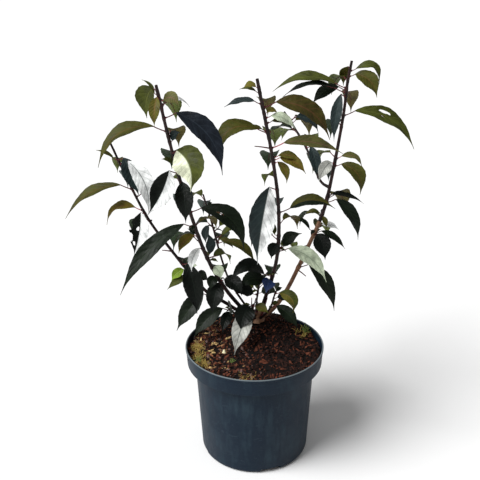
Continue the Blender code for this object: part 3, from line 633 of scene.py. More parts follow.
def leaf_cuticle(name, base, vein, roughness, raised):
    """Cherry leaf blade: a waxy cuticle over a quilted blade, so it shines softly, with
    side veins, a flush of the midrib's colour beside it and a slight mottle between."""
    made, tree, shader = new_material(name, base, roughness, 0.18)
    place = add(tree, "ShaderNodeTexCoord")[3]
    blade = add(tree, "ShaderNodeUVMap", uv_map="blade")
    across, along, _ = add(tree, SPLIT, blade)
    centred = add(tree, MATH, across, 0.5, operation="SUBTRACT")
    away = add(tree, MATH, centred, operation="ABSOLUTE")
    # Eight or nine side veins lean towards the tip; one wave is the blade between two.
    lean = add(tree, MATH, away, -0.42, along, operation="MULTIPLY_ADD")
    bent = add(tree, NOISE, place, 1 / (25 * MM), 1.0)[0]
    wander = add(tree, MATH, bent, 0.9, operation="MULTIPLY")
    wave = add(tree, MATH, lean, 8.5, wander, operation="MULTIPLY_ADD")
    beat = add(tree, MATH, wave, 0.5, operation="PINGPONG")
    side = add(tree, RANGE, beat, 0.02, 0.16, 0.38, 0.0)
    middle = add(tree, RANGE, away, 0.012, 0.04, 0.95, 0.0)
    flush = add(tree, RANGE, away, 0.03, 0.25, 0.16, 0.0)
    lines = add(tree, MATH, side, middle, operation="MAXIMUM")
    veins = add(tree, MATH, lines, flush, operation="MAXIMUM")
    mottle = add(tree, NOISE, place, 1 / (14 * MM), 3.0, 0.6)[0]
    shade = add(tree, RANGE, mottle, 0.3, 0.7, 0.55, 1.45)
    green = add(tree, MIX, 1.0, base, shade, data_type="RGBA", blend_type="MULTIPLY")
    mixed = add(tree, MIX, veins, green, vein, data_type="RGBA")
    tree.links.new(mixed, shader.inputs["Base Color"])
    uneven = add(tree, RANGE, mottle, 0.3, 0.7, roughness - 0.1, roughness + 0.15)
    tree.links.new(uneven, shader.inputs["Roughness"])
    # The quilting between veins is uneven, so a coarse noise bends and fades it.
    sunk = add(tree, MATH, middle, -0.5, beat, operation="MULTIPLY_ADD")
    dents = add(tree, NOISE, place, 1 / (6 * MM), 2.0, 0.5)[0]
    relief = add(tree, MATH, dents, 1.6, sunk, operation="MULTIPLY_ADD")
    bump = add(tree, "ShaderNodeBump", 0.45, 0.9 * MM, None, relief, invert=raised)
    tree.links.new(bump, shader.inputs["Normal"])
    return made


def cherry_bark(name, base, light, roughness=0.5):
    """Young cherry bark: thin, smooth and satiny, dark red-brown, ringed with fine pale
    breathing pores."""
    made, tree, shader = new_material(name, base, roughness, 0.2)
    place = add(tree, "ShaderNodeTexCoord")[3]
    patch = add(tree, NOISE, place, 1 / (9 * MM), 4.0)[0]
    worn = add(tree, RANGE, patch, 0.45, 0.7, 0.0, 0.6)
    toned = add(tree, MIX, worn, base, light, data_type="RGBA")
    # Pores: dashes about 1 mm tall and three times as wide, lying round the stem.
    flat = add(tree, "ShaderNodeMapping", place, None, None, (1.0, 1.0, 3.2))
    cells = add(tree, "ShaderNodeTexVoronoi", flat, 1 / (3.4 * MM))[0]
    pores = add(tree, RANGE, cells, 0.12, 0.26, 0.5, 0.0)
    mixed = add(tree, MIX, pores, toned, light, data_type="RGBA")
    tree.links.new(mixed, shader.inputs["Base Color"])
    height = add(tree, MATH, patch, pores, operation="ADD")
    bump = add(tree, "ShaderNodeBump", 0.6, 0.5 * MM, None, height)
    tree.links.new(bump, shader.inputs["Normal"])
    return made


def moulded_plastic(name, base, dusty, painted_highlight, top):
    """Polypropylene nursery pot, injection moulded: an even, slightly waxy matt surface
    with a fine moulded grain, hair scuffs, dry dust and a pale highlight painted along the rim's top edge."""
    made, tree, shader = new_material(name, base, 0.5, 0.16)
    place = add(tree, "ShaderNodeTexCoord")[3]
    cloud = add(tree, NOISE, place, 1 / (55 * MM), 4.0, 0.6)[0]
    tall = add(tree, "ShaderNodeMapping", place, None, None, (1.0, 1.0, 0.22))
    streak = add(tree, NOISE, tall, 1 / (9 * MM), 3.0, 0.55)[0]
    both = add(tree, MATH, cloud, streak, operation="MULTIPLY")
    dull = add(tree, RANGE, both, 0.22, 0.42, 0.0, 0.4)
    # Scuffs: hair lines that wander across the wall, 25 mm apart.
    warped = add(tree, "ShaderNodeMapping", place, None, (0.5, 0.3, 0.2), (1.0, 1.0, 2.4))
    threads = add(tree, NOISE, warped, 1 / (25 * MM), 2.0, 0.5, None, 1.2)[0]
    centre = add(tree, MATH, threads, 0.5, operation="SUBTRACT")
    near = add(tree, MATH, centre, operation="ABSOLUTE")
    hair = add(tree, RANGE, near, 0.002, 0.007, 0.3, 0.0)
    height = add(tree, SPLIT, place)[2]
    # A pale highlight painted along the top of the rim, where the light catches its edge.
    edge = add(tree, RANGE, height, top - 1.6 * MM, top - 0.3 * MM, 0.0, 0.55)
    worn = add(tree, MATH, hair, dull, operation="MAXIMUM")
    dusted = add(tree, MIX, worn, base, dusty, data_type="RGBA")
    mixed = add(tree, MIX, edge, dusted, painted_highlight, data_type="RGBA")
    tree.links.new(mixed, shader.inputs["Base Color"])
    rough = add(tree, RANGE, streak, 0.3, 0.7, 0.42, 0.6)
    tree.links.new(rough, shader.inputs["Roughness"])
    grain = add(tree, NOISE, place, 1 / (1.4 * MM), 2.0)[0]
    relief = add(tree, MATH, cloud, 6.0, grain, operation="MULTIPLY_ADD")
    bump = add(tree, "ShaderNodeBump", 0.25, 0.25 * MM, None, relief)
    tree.links.new(bump, shader.inputs["Normal"])
    return made


def bark_chip(name, base, light):
    """Composted conifer bark: torn fibrous chips, dull and dry, streaked along the grain."""
    made, tree, shader = new_material(name, base, 0.9, 0.2)
    place = add(tree, "ShaderNodeTexCoord")[3]
    fibre = add(tree, NOISE, place, 1 / (2.2 * MM), 4.0, 0.7)[0]
    streaks = add(tree, RANGE, fibre, 0.45, 0.75, 0.0, 0.6)
    mixed = add(tree, MIX, streaks, base, light, data_type="RGBA")
    tree.links.new(mixed, shader.inputs["Base Color"])
    bump = add(tree, "ShaderNodeBump", 0.8, 0.8 * MM, None, fibre)
    tree.links.new(bump, shader.inputs["Normal"])
    return made


# ---------------------------------------------------------------- settings

def length(name, about, default, **limits):
    """A setting that is a length."""
    return FloatProperty(name=name, description=about, default=default, unit="LENGTH",
                         subtype="DISTANCE", **limits)


class CHERRY_PotSettings(bpy.types.PropertyGroup):
    height: length("Height", "Height of the pot", 16.0 * CM, min=0.05)
    rim_radius: length("Rim radius", "Outer radius at the top of the rim", 9.5 * CM, min=0.03)
    band: length("Rim band", "Height of the deep rim band", 2.4 * CM, min=0.005)
    neck_radius: length("Neck radius", "Body radius under the rim band", 8.2 * CM, min=0.03)
    foot_radius: length("Foot radius", "Body radius at the foot", 7.5 * CM, min=0.03)
    wall: length("Wall", "Thickness of the moulded wall", 0.2 * CM, min=0.0005)
    plastic: colour("Plastic", "Colour of the pot's plastic", "0a1c2b")
    dust: colour("Dust", "Colour where the plastic is scuffed and dusty", "34464f")
    # The colour of the highlight painted along the rim's top edge.
    painted_highlight: colour("Rubbed edge", "Colour of the rim's rubbed top edge", "8f9a9e")


class CHERRY_CompostSettings(bpy.types.PropertyGroup):
    level: length("Level", "Height of the compost at the wall", 15.1 * CM)
    mound: length("Mound", "How much higher it lies round the stool", 1.9 * CM)
    chip: length("Chip length", "Length of a large bark chip", 12 * MM)
    chips: FloatProperty(name="Chips", description="Bark chips on a square metre", default=80000.0)
    # Near black: damp compost, darkened further as painted shade in the gaps between the chips.
    bed: colour("Bed", "Damp compost between the chips", "0b0706")
    dark: colour("Wet bark", "Darkest chips", "150c0a")
    red: colour("Red bark", "Red-brown chips", "5c3123")
    tan: colour("Dry bark", "Dry tan chips", "7a4c36")
    grey: colour("Grey bark", "Weathered grey-brown chips", "6a5652")
    pale: colour("Pale wood", "Pale wood splinters", "d0b27a")
    moss: colour("Moss", "Dry yellow moss", "ad964e")
    weed: colour("Weed", "Pale green seedlings", "7f9a56")
    cream: colour("Fleck", "One cream fleck", "f2ecc4")


class CHERRY_WoodSettings(bpy.types.PropertyGroup):
    sides: IntProperty(name="Sides", description="Sides of a stem's tube", default=12, min=5, max=32)
    swelling: FloatProperty(name="Node swelling", description="How much a stem swells at a leaf",
                            default=0.22, min=0.0, max=1.0)
    bark: colour("Bark", "Dark red-brown young bark", "170b0b")
    bark_light: colour("Bark pores", "Pale pores and worn patches", "402623")
    old: colour("Old bark", "Lighter brown bark near the ground", "6d4c38")
    old_light: colour("Old bark patches", "Pinkish worn patches", "a58268")
    petiole: colour("Petiole", "Red-brown leaf stalks", "5a1f26")
    pink: colour("Young petiole", "Pink stalks of young leaves", "b0545e")


class CHERRY_LeafSettings(bpy.types.PropertyGroup):
    rows: IntProperty(name="Rows", description="Faces along a large leaf", default=20, min=6, max=40)
    columns: IntProperty(name="Columns", description="Faces across a large leaf", default=6, min=2, max=16)
    fold: FloatProperty(name="Fold", description="How far the margins stand above the midrib",
                        default=0.28, min=0.0, max=1.0)
    teeth: FloatProperty(name="Teeth", description="Depth of the margin's teeth, of half width",
                         default=0.04, min=0.0, max=0.3)
    ripple: FloatProperty(name="Ripple", description="Waviness of the margin, of half width",
                          default=0.1, min=0.0, max=0.5)
    thickness: length("Thickness", "Thickness of the blade", 0.5 * MM, min=0.0001, max=0.003)


class CHERRY_StageSettings(bpy.types.PropertyGroup):
    floor: colour("Floor", "Pale studio floor", "f4f4f4")
    key: FloatProperty(name="Key light", description="Strength of the soft sun", default=3.9, min=0.0)
    softness: FloatProperty(name="Softness", description="Angle of the sun's disc",
                            default=math.radians(40.0), min=0.0, subtype="ANGLE")
    fill: FloatProperty(name="Fill light", description="Strength of the white surround", default=0.3, min=0.0)


# ---------------------------------------------------------------- pieces

class CHERRY_OT_pot(bpy.types.Operator):
    """Turns the nursery pot and cuts its drainage notches"""
    bl_idname = "cherry.pot"
    bl_label = "Nursery pot"

    def execute(self, context):
        size = context.scene.cherry_pot
        rim, neck, foot, wall = size.rim_radius, size.neck_radius, size.foot_radius, size.wall
        band, height = size.height - size.band, size.height
        turn = 0.6 * CM
        profile = [(foot - turn * (1 - math.sin(math.radians(d))), turn * (1 - math.cos(math.radians(d))))
                   for d in (0, 15, 30, 45, 60, 75, 90)]
        profile += [(neck, band - 2.5 * MM), (neck + 1.5 * MM, band - 1.6 * MM),
                    (rim - 3.4 * MM, band - 0.9 * MM),
                    (rim - 2.2 * MM, band), (rim - 2 * MM, band + 1 * MM), (rim - 0.9 * MM, height - 4 * MM),
                    (rim - 0.1 * MM, height - 3.2 * MM), (rim, height - 1.2 * MM),
                    (rim - 0.3 * MM, height - 0.3 * MM), (rim - 0.9 * MM, height),
                    (rim - 1.6 * MM, height - 0.2 * MM), (rim - wall, height - 1 * MM),
                    (rim - 2 * MM - wall, band + wall + 2 * MM), (neck - wall, band),
                    (foot - wall, turn), (foot - turn, wall)]
        pot = object_from("nursery_pot", *turned(profile, 120))
        for k in range(NOTCHES):
            self.cut_notch(pot, foot, FIRST_NOTCH + math.tau * k / NOTCHES)
        pot.data.materials.clear()
        pot.data.materials.append(
            moulded_plastic("moulded_polypropylene", size.plastic, size.dust, size.painted_highlight, height))
        smooth(pot, 35)
        finish(pot, "pot_plastic", "pot")
        return {"FINISHED"}

    def cut_notch(self, pot, foot, angle):
        """A low drainage opening through the foot's edge, open underneath."""
        steps = 8
        points = []
        for z, spread in ((-0.5 * CM, 1.12), (0.5 * CM, 1.0), (0.65 * CM, 0.9)):
            for radius in (foot - 1.4 * CM, foot + 1.0 * CM):
                for k in range(steps + 1):
                    a = angle + NOTCH_HALF_ANGLE * spread * (2.0 * k / steps - 1.0)
                    points.append((radius * math.cos(a), radius * math.sin(a), z))
        row = steps + 1
        ring = list(range(row)) + list(range(2 * row - 1, row - 1, -1))
        faces = [tuple(ring[::-1]), tuple(index + 4 * row for index in ring)]
        for level in (0, 2 * row):
            for first, second in zip(ring, ring[1:] + ring[:1]):
                low, high = level, level + 2 * row
                faces.append((first + low, second + low, second + high, first + high))
        cutter = object_from("notch", points, (), faces)
        face_outwards(cutter)
        modifier = pot.modifiers.new("Notch", "BOOLEAN")
        modifier.operation = "DIFFERENCE"
        modifier.solver = "EXACT"
        modifier.object = cutter
        keep_result(pot)
        bpy.data.objects.remove(cutter)


def compost_height(size, x, y):
    away = math.hypot(x - STOOL_AT.x, y - STOOL_AT.y)
    beyond = max(0.0, away - MOUND_TOP)
    return size.level + size.mound * math.exp(-((beyond / MOUND_SLOPE) ** 2))


class CHERRY_OT_compost(bpy.types.Operator):
    """Fills the pot with mounded bark compost and scatters its chips, moss and seedlings"""
    bl_idname = "cherry.compost"
    bl_label = "Bark compost"

    def execute(self, context):
        size = context.scene.cherry_compost
        bed = self.bed(size)
        tones = [bark_chip(*pair) for pair in (
            ("wet_bark", size.dark, size.red), ("red_bark", size.red, size.tan),
            ("weathered_bark", size.grey, size.tan), ("dry_bark", size.tan, size.pale),
            ("pale_splinters", size.pale, size.tan))]
        chips = bed.copy()
        chips.data = bed.data.copy()
        chips.name = "bark_chips"
        context.scene.collection.objects.link(chips)
        grow(chips, self.chip_tree(tones), {"Chip length": size.chip, "Chips": size.chips})
        smooth(chips, 40)
        # The bed shows only between the chips, coloured near black as painted shade in the gaps.
        bed.data.materials.append(bark_chip("compost_painted_gap_shade", size.bed, size.dark))
        smooth(bed)
        growth = [bark_chip(*pair) for pair in (
            ("dry_moss", size.moss, size.pale), ("seedling_green", size.weed, size.moss),
            ("cream_fleck", size.cream, size.cream))]
        moss = self.moss(size)
        grow(moss, self.moss_tree(growth))
        smooth(moss, 40)
        finish(bed, "bark_compost", "compost")
        for piece in (chips, moss):
            finish(piece, "bark_compost")
        return {"FINISHED"}

    def bed(self, size):
        """The compost's body: rough on top, filling the pot, and drawn in behind the notches."""
        rim, rings, sides = 9.03 * CM, 36, 96
        dice = random.Random(SEED)
        profile = [(rim * k / rings, 0.0) for k in range(1, rings + 1)]
        profile += [(9.0 * CM, 13.9 * CM), (8.0 * CM, 13.4 * CM), (7.25 * CM, 1.2 * CM),
                    (5.9 * CM, 0.95 * CM), (5.8 * CM, 0.25 * CM)]
        points, edges, faces = turned(profile, sides)
        for k, (x, y, _) in enumerate(points):
            if k < rings * sides:
                rough = 0.0 if k >= (rings - 1) * sides else dice.uniform(-0.8, 0.8) * MM
                points[k] = (x, y, compost_height(size, x, y) - 1.0 * MM + rough)
        bed = object_from("compost_bed", points, edges, faces)
        face_outwards(bed)
        return bed

    def chip_tree(self, tones):
        """Scatters torn, flat chips over the faces of the bed that look up."""
        tree, given = new_tree("Scatter bark chips", (
            ("Chip length", "Float", 12 * MM), ("Chips", "Float", 80000.0)))
        normal = add(tree, "GeometryNodeInputNormal")[0]
        up = add(tree, SPLIT, normal)[2]
        facing = add(tree, COMPARE, up, 0.4, operation="GREATER_THAN")
        spots = add(tree, "GeometryNodeDistributePointsOnFaces",
                    given["Geometry"], facing, given["Chips"], SEED)[0]
        chip = add(tree, "GeometryNodeMeshIcoSphere", 0.5, 1)[0]
        spreads = ((0.3, 1.0), (0.18, 0.5), (0.1, 0.26), (0.0, 1.0))
        share, girth, depth, tone = [add(tree, "FunctionNodeRandomValue", low, high, None, seed)
                                     for seed, (low, high) in enumerate(spreads)]
        whole = add(tree, MATH, share, given["Chip length"], operation="MULTIPLY")
        shape = add(tree, "ShaderNodeCombineXYZ", 1.0, girth, depth)
        scale = add(tree, VECTOR, shape, whole, operation="SCALE")
        swing = add(tree, "FunctionNodeRandomValue", (-0.7, -0.7, 0.0), (0.7, 0.7, math.tau), None, 7,
                    data_type="FLOAT_VECTOR")
        placed = add(tree, "GeometryNodeInstanceOnPoints", spots, None, chip, None, None, swing, scale)
        # Painted light and shade: the chips' tone is lighter on the open, sunlit left and darker on the
        # right, where the leaves shade them.
        rightwards = add(tree, SPLIT, add(tree, "GeometryNodeInputPosition"))[0]
        painted_sun_and_shade = add(tree, RANGE, rightwards, -6 * CM, 4 * CM, 0.12, -0.33)
        tone = add(tree, MATH, tone, painted_sun_and_shade, operation="ADD")
        placed = add(tree, STORE, placed, None, "tone", tone, data_type="FLOAT", domain="INSTANCE")
        real = add(tree, "GeometryNodeRealizeInstances", placed)
        noise = add(tree, NOISE, None, 1 / (3 * MM), 1.0)[1]
        shaken = add(tree, VECTOR, noise, (0.5, 0.5, 0.5), operation="SUBTRACT")
        offset = add(tree, VECTOR, shaken, 3.4 * MM, operation="SCALE")
        made = add(tree, "GeometryNodeSetPosition", real, None, None, offset)
        made = coat(tree, made, "tone", DRIER_FROM, tones)
        add(tree, "NodeGroupOutput", made)
        return tree

    def moss(self, size):
        """One point for each strand: where it roots, how it leans, how long it is, and its kind."""
        dice = random.Random(SEED + 3)
        roots, leans, lengths, kinds = [], [], [], []
        for right, back, spread, count, reach, tilt, kind in MOSS:
            for _ in range(count):
                x = (right + dice.gauss(0.0, spread)) * CM
                y = (back + dice.gauss(0.0, spread * 1.3)) * CM
                if math.hypot(x, y) > MOSS_WITHIN:
                    continue
                roots.append((x, y, compost_height(size, x, y) + (4.0 if kind == 2 else 0.5) * MM))
                leans.append((dice.uniform(-tilt, tilt), dice.uniform(-tilt, tilt),
                              dice.uniform(0.0, 6.28)))
                lengths.append(reach * dice.uniform(0.5, 1.2) * MM)
                kinds.append(float(kind))
        made = object_from("moss_and_seedlings", roots)
        store(made, "lean", "FLOAT_VECTOR", leans)
        store(made, "reach", "FLOAT", lengths)
        store(made, "kind", "FLOAT", kinds)
        return made

    def moss_tree(self, growth):
        """Stands a thin strand on each point, or a squat fleck for the last kind."""
        tree, given = new_tree("Plant moss", (
            ("Strand girth", "Float", 0.055), ("Fleck girth", "Float", 0.55)))
        kind = add(tree, NAMED, "kind")[0]
        reach = add(tree, NAMED, "reach")[0]
        lean = add(tree, NAMED, "lean", data_type="FLOAT_VECTOR")[0]
        squat = add(tree, MATH, kind, 1.5, operation="GREATER_THAN")
        girth = add(tree, MIX, squat, given["Strand girth"], given["Fleck girth"], data_type="FLOAT")
        strand = add(tree, "GeometryNodeMeshCone", 5, 2, 1, 0.4, 1.0, 1.0)[0]
        shape = add(tree, "ShaderNodeCombineXYZ", girth, girth, 1.0)
        scale = add(tree, VECTOR, shape, reach, operation="SCALE")
        placed = add(tree, "GeometryNodeInstanceOnPoints",
                     given["Geometry"], None, strand, None, None, lean, scale)
        made = add(tree, "GeometryNodeRealizeInstances", placed)
        made = coat(tree, made, "kind", (-0.5, 0.5, 1.5), growth)
        add(tree, "NodeGroupOutput", made)
        return tree


def tube_tree(name, finishes, relief):
    """Sweeps a round section along every edge chain, as thick as its points say."""
    tree, given = new_tree(name, (("Sides", "Int", 8),))
    lines = add(tree, "GeometryNodeMeshToCurve", given["Geometry"])
    section = add(tree, "GeometryNodeCurvePrimitiveCircle", given["Sides"], 1.0)
    swept = add(tree, "GeometryNodeCurveToMesh", lines, section, add(tree, NAMED, "girth")[0], True)
    noise = add(tree, NOISE, None, 1 / (4 * MM), 3.0)[0]
    height = add(tree, MATH, noise, relief, -relief / 2, operation="MULTIPLY_ADD")
    normal = add(tree, "GeometryNodeInputNormal")[0]
    offset = add(tree, VECTOR, normal, height, operation="SCALE")
    made = add(tree, "GeometryNodeSetPosition", swept, None, None, offset)
    made = add(tree, "GeometryNodeRealizeInstances", made)
    made = coat(tree, made, "kind", (-0.5, 0.5), finishes)
    add(tree, "NodeGroupOutput", made)
    return tree


def outward(angle):
    """The level direction at an angle."""
    return Vector((math.cos(angle), math.sin(angle), 0.0))


def shoot(root, tip, bow, girth, taper, places, kind=0.0):
    """A line from root to tip that bows and tapers, with a point at each place along it."""
    return [(root.lerp(tip, t) + bow * t * (1 - t), (girth - taper * t) * MM, kind) for t in places]


def chains(name, lines):
    """One mesh of edge chains. Each line is a list of (point, radius, kind)."""
    points, edges, girths, kinds = [], [], [], []
    for line in lines:
        first = len(points)
        edges += [(first + k, first + k + 1) for k in range(len(line) - 1)]
        for point, girth, kind in line:
            points.append(point)
            girths.append(girth)
            kinds.append(float(kind))
    made = object_from(name, points, edges)
    store(made, "girth", "FLOAT", girths)
    store(made, "kind", "FLOAT", kinds)
    return made


class CHERRY_OT_stems(bpy.types.Operator):
    """Grows the stool and the stems up to their cut tips"""
    bl_idname = "cherry.stems"
    bl_label = "Stems and stool"

    def execute(self, context):
        size = context.scene.cherry_wood
        young = cherry_bark("young_cherry_bark", size.bark, size.bark_light, 0.45)
        old = cherry_bark("old_cherry_bark", size.old, size.old_light, 0.65)
        lines = []
        for name, stem in grown_stems().items():
            nodes = [stem.at_height(row[0] * CM) for row in LEAVES[name]]
            lines.append(self.stem_line(stem, nodes, size.swelling, name))
        for k in range(STOOL_STUBS):
            angle = GOLDEN_ANGLE * k
            foot = STOOL_AT + outward(angle) * STOOL_RADIUS * 0.75
            swung = angle + 0.4
            head = STOOL_AT + Vector((math.cos(swung) * 4 * MM, math.sin(swung) * 4 * MM, 9 * MM))
            lines.append(shoot(foot, head, Vector(), 5.5, 2.0, (0.0, 0.35, 0.7, 1.0), 1.0))
        wood = chains("cherry_stems", lines)
        grow(wood, tube_tree("Sweep stems", (young, old), 0.5 * MM), {"Sides": size.sides})
        smooth(wood, 50)
        bare = [node for node in frame["nodes"] if node.startswith("stem_")]
        finish(wood, "stem_bark", "stool", *bare)
        return {"FINISHED"}

    def stem_line(self, stem, nodes, swelling, name):
        """Evenly spaced rings, thicker at each leaf's node and just above the foot."""
        count = int(stem.whole / STEM_RINGS)
        line = []
        for k in range(count + 1):
            away = stem.whole * k / count
            swell = sum(math.exp(-((away - node) / (2.2 * MM)) ** 2) for node in nodes)
            swell = 1.0 + swelling * min(swell, 1.3) + 0.5 * math.exp(-away / (6 * MM))
            aged = float(away < OLD_BARK.get(name, 0.0) * CM)
            line.append((stem.at(away), stem.radius(away) * swell, aged))
        return line


class CHERRY_OT_stalks(bpy.types.Operator):
    """Grows the leaf stalks with their midribs, the buds and the short bare shoots"""
    bl_idname = "cherry.stalks"
    bl_label = "Stalks and buds"

    def execute(self, context):
        size = context.scene.cherry_wood
        red = cherry_bark("leaf_stalk_red", size.petiole, size.bark_light, 0.45)
        pink = cherry_bark("leaf_stalk_pink", size.pink, size.pink, 0.5)
        lines = []
        stems = grown_stems()
        for name, stem in stems.items():
            for leaf in grown_leaves(name, stem):
                lines.append(self.stalk(leaf))
                if leaf.length > BUD_FROM:
                    lines.append(self.bud(stem, leaf))
        for name, height, reach in SHOOTS:
            stem = stems[name]
            root = stem.at(stem.at_height(height * CM))
            tip = root + Vector(reach) * CM
            lines.append(shoot(root, tip, UP * 1.5 * MM, 1.0, 0.4, (0.0, 0.25, 0.5, 0.75, 1.0)))
        lines += self.base_shoots()
        stalks = chains("leaf_stalks", lines)
        grow(stalks, tube_tree("Sweep stalks", (red, pink), 0.1 * MM), {"Sides": 6})
        smooth(stalks, 60)
        finish(stalks, "stem_bark")
        return {"FINISHED"}

    def stalk(self, leaf):
        young = leaf.tints[0] in PINK_STALKS
        big = min(1.0, leaf.length / (6 * CM)) * 0.5 + 0.5
        thick = PETIOLE_RADIUS * big * 0.85
        line = []
        for t in (0.0, 0.15, 0.4, 0.7, 1.0):
            sag = leaf.out * 1.0 * MM * math.sin(math.pi * t)
            flare = 1.0 + 0.5 * math.exp(-t * 12)
            line.append((leaf.node.lerp(leaf.base, t) + sag, thick * flare, float(young)))
        for t in (0.08, 0.2, 0.35, 0.5, 0.65, 0.8):
            under = leaf.normal(t) * thick * (0.6 - 0.6 * t)
            line.append((leaf.spine(t) - under, thick * (0.8 - 0.8 * t), float(young)))
        return line

    def bud(self, stem, leaf):
        """A pointed bud in the leaf's axil, lying against the stem."""
        up = (stem.heading(leaf.away) + 0.7 * leaf.out).normalized()
        root = leaf.node + leaf.out * stem.radius(leaf.away) * 0.8
        return [(root + up * away * MM, girth * MM, 0.0) for away, girth in BUD]

    def base_shoots(self):
        """The tuft of thin red shoots that springs from the stool."""
        dice = random.Random(SEED + 5)
        lines = []
        for k in range(BASE_SHOOTS):
            away = outward(GOLDEN_ANGLE * k)
            foot = STOOL_AT + away * 6 * MM + UP * 2 * MM
            lean = (dice.uniform(-1.2, 1.2), dice.uniform(-1.2, 0.8), dice.uniform(2.0, 4.2))
            tip = foot + Vector(lean) * CM
            lines.append(shoot(foot, tip, away * 3 * MM, 1.3, 0.7, (0.0, 0.2, 0.4, 0.6, 0.8, 1.0)))
        return lines


class CHERRY_OT_leaves(bpy.types.Operator):
    """Grows the blades of every leafy stem, one piece for each"""
    bl_idname = "cherry.leaves"
    bl_label = "Leaves"

    def execute(self, context):
        size = context.scene.cherry_leaf
        skins = {}
        for tint, (upper, lower, vein, roughness) in TINTS.items():
            skins[tint] = (
                leaf_cuticle("leaf_" + tint, linear(upper), linear(vein), roughness, False),
                leaf_cuticle("leaf_" + tint + "_underside", linear(lower), linear(vein), 0.6, True))
        order = list(TINTS)
        for name, stem in grown_stems().items():
            leaves = grown_leaves(name, stem)
            spots = object_from("foliage_" + name, [leaf.node for leaf in leaves])
            for part in ("base", "bend", "tip", "face"):
                store(spots, part, "FLOAT_VECTOR", [getattr(leaf, part) for leaf in leaves])
            store(spots, "half", "FLOAT", [leaf.half_width for leaf in leaves])
            store(spots, "phase", "FLOAT", [GOLDEN_ANGLE * k % math.tau for k in range(len(leaves))])
            store(spots, "grain", "FLOAT",
                  [2.0 if leaf.holes else float(leaf.length > LARGE_LEAF) for leaf in leaves])
            for half, place in (("left_tint", 0), ("right_tint", -1)):
                store(spots, half, "FLOAT", [float(order.index(leaf.tints[place])) for leaf in leaves])
            store(spots, "narrow", "FLOAT", [leaf.hole_shape for leaf in leaves])
            for k in range(MOST_HOLES):
                store(spots, "hole_%d" % k, "FLOAT_VECTOR",
                      [leaf.holes[k] if len(leaf.holes) > k else (9.0, 9.0, 0.0) for leaf in leaves])
            worn = sorted({tint for leaf in leaves for tint in leaf.tints}, key=order.index)
            eaten = any(leaf.holes for leaf in leaves)
            coats = [(order.index(tint), *skins[tint]) for tint in worn]
            tree = self.leaf_tree(name, coats, eaten)
            grow(spots, tree, {"Rows": size.rows, "Columns": size.columns, "Fold": size.fold,
                               "Teeth": size.teeth, "Ripple": size.ripple, "Thickness": size.thickness})
            smooth(spots, 60)
            finish(spots, "foliage", "leaves_" + name)
        return {"FINISHED"}

    def leaf_tree(self, name, skins, eaten):
        """Bends a flat sheet along each leaf's arching midrib and gives it its thickness."""
        tree, given = new_tree("Grow leaves " + name, (
            ("Rows", "Int", 20), ("Columns", "Int", 6), ("Fold", "Float", 0.28), ("Teeth", "Float", 0.04),
            ("Ripple", "Float", 0.1), ("Thickness", "Float", 0.5 * MM)))
        # Flat sheets: coarse for the small leaves, finer for the large, finest where eaten.
        grain = add(tree, NAMED, "grain")[0]
        sheets = []
        for level, (more_rows, more_columns) in enumerate(((0.4, 0.7), (1.0, 1.0), (4.0, 5.0))):
            columns = add(tree, MATH, given["Columns"], more_columns, 1.2, operation="MULTIPLY_ADD")
            rows = add(tree, MATH, given["Rows"], more_rows, 1.2, operation="MULTIPLY_ADD")
            grid, flat = add(tree, "GeometryNodeMeshGrid", 1.0, 1.0, columns, rows)
            grid = add(tree, STORE, grid, None, "blade", flat, data_type="FLOAT2", domain="CORNER")
            mine = add(tree, COMPARE, grain, float(level), 0.1, operation="EQUAL")
            sheets.append(add(tree, "GeometryNodeInstanceOnPoints", given["Geometry"], mine, grid))
        sheets = add(tree, "GeometryNodeJoinGeometry", sheets)
        leaf = add(tree, "GeometryNodeRealizeInstances", sheets)

        # u runs across the blade from -1 to 1, t along it from 0 to 1.
        blade = add(tree, NAMED, "blade", data_type="FLOAT_VECTOR")[0]
        across, t, _ = add(tree, SPLIT, blade)
        u = add(tree, MATH, across, 2.0, -1.0, operation="MULTIPLY_ADD")
        away = add(tree, MATH, u, operation="ABSOLUTE")
        if eaten:
            leaf, beside_hole = self.eat(tree, leaf, t, u)
        base, bend, tip, face = [add(tree, NAMED, part, data_type="FLOAT_VECTOR")[0]
                                 for part in ("base", "bend", "tip", "face")]
        first = add(tree, MIX, t, base, bend, data_type="VECTOR")
        second = add(tree, MIX, t, bend, tip, data_type="VECTOR")
        middle = add(tree, MIX, t, first, second, data_type="VECTOR")
        run = add(tree, VECTOR, second, first, operation="SUBTRACT")
        forward = add(tree, VECTOR, run, operation="NORMALIZE")
        level = add(tree, VECTOR, forward, face, operation="CROSS_PRODUCT")
        side = add(tree, VECTOR, level, operation="NORMALIZE")
        upward = add(tree, VECTOR, side, forward, operation="CROSS_PRODUCT")

        # The outline, with teeth: every other row stands in, at the margin only.
        outline = add(tree, "ShaderNodeFloatCurve", 1.0, t)
        curve = outline.node.mapping.curves[0]
        for x, y in OUTLINE[1:-1]:
            curve.points.new(x, y)
        curve.points[0].location = OUTLINE[0]
        curve.points[-1].location = OUTLINE[-1]
        outline.node.mapping.update()
        beat = add(tree, MATH, t, given["Rows"], operation="MULTIPLY")
        tooth = add(tree, MATH, beat, 1.0, operation="PINGPONG")
        margin = add(tree, MATH, away, 6.0, operation="POWER")
        depth = add(tree, MATH, tooth, margin, operation="MULTIPLY")
        notch = add(tree, MATH, depth, given["Teeth"], operation="MULTIPLY")
        kept = add(tree, MATH, 1.0, notch, operation="SUBTRACT")
        half = add(tree, MATH, outline, add(tree, NAMED, "half")[0], operation="MULTIPLY")
        width = add(tree, MATH, half, kept, operation="MULTIPLY")
        out = add(tree, MATH, width, u, operation="MULTIPLY")

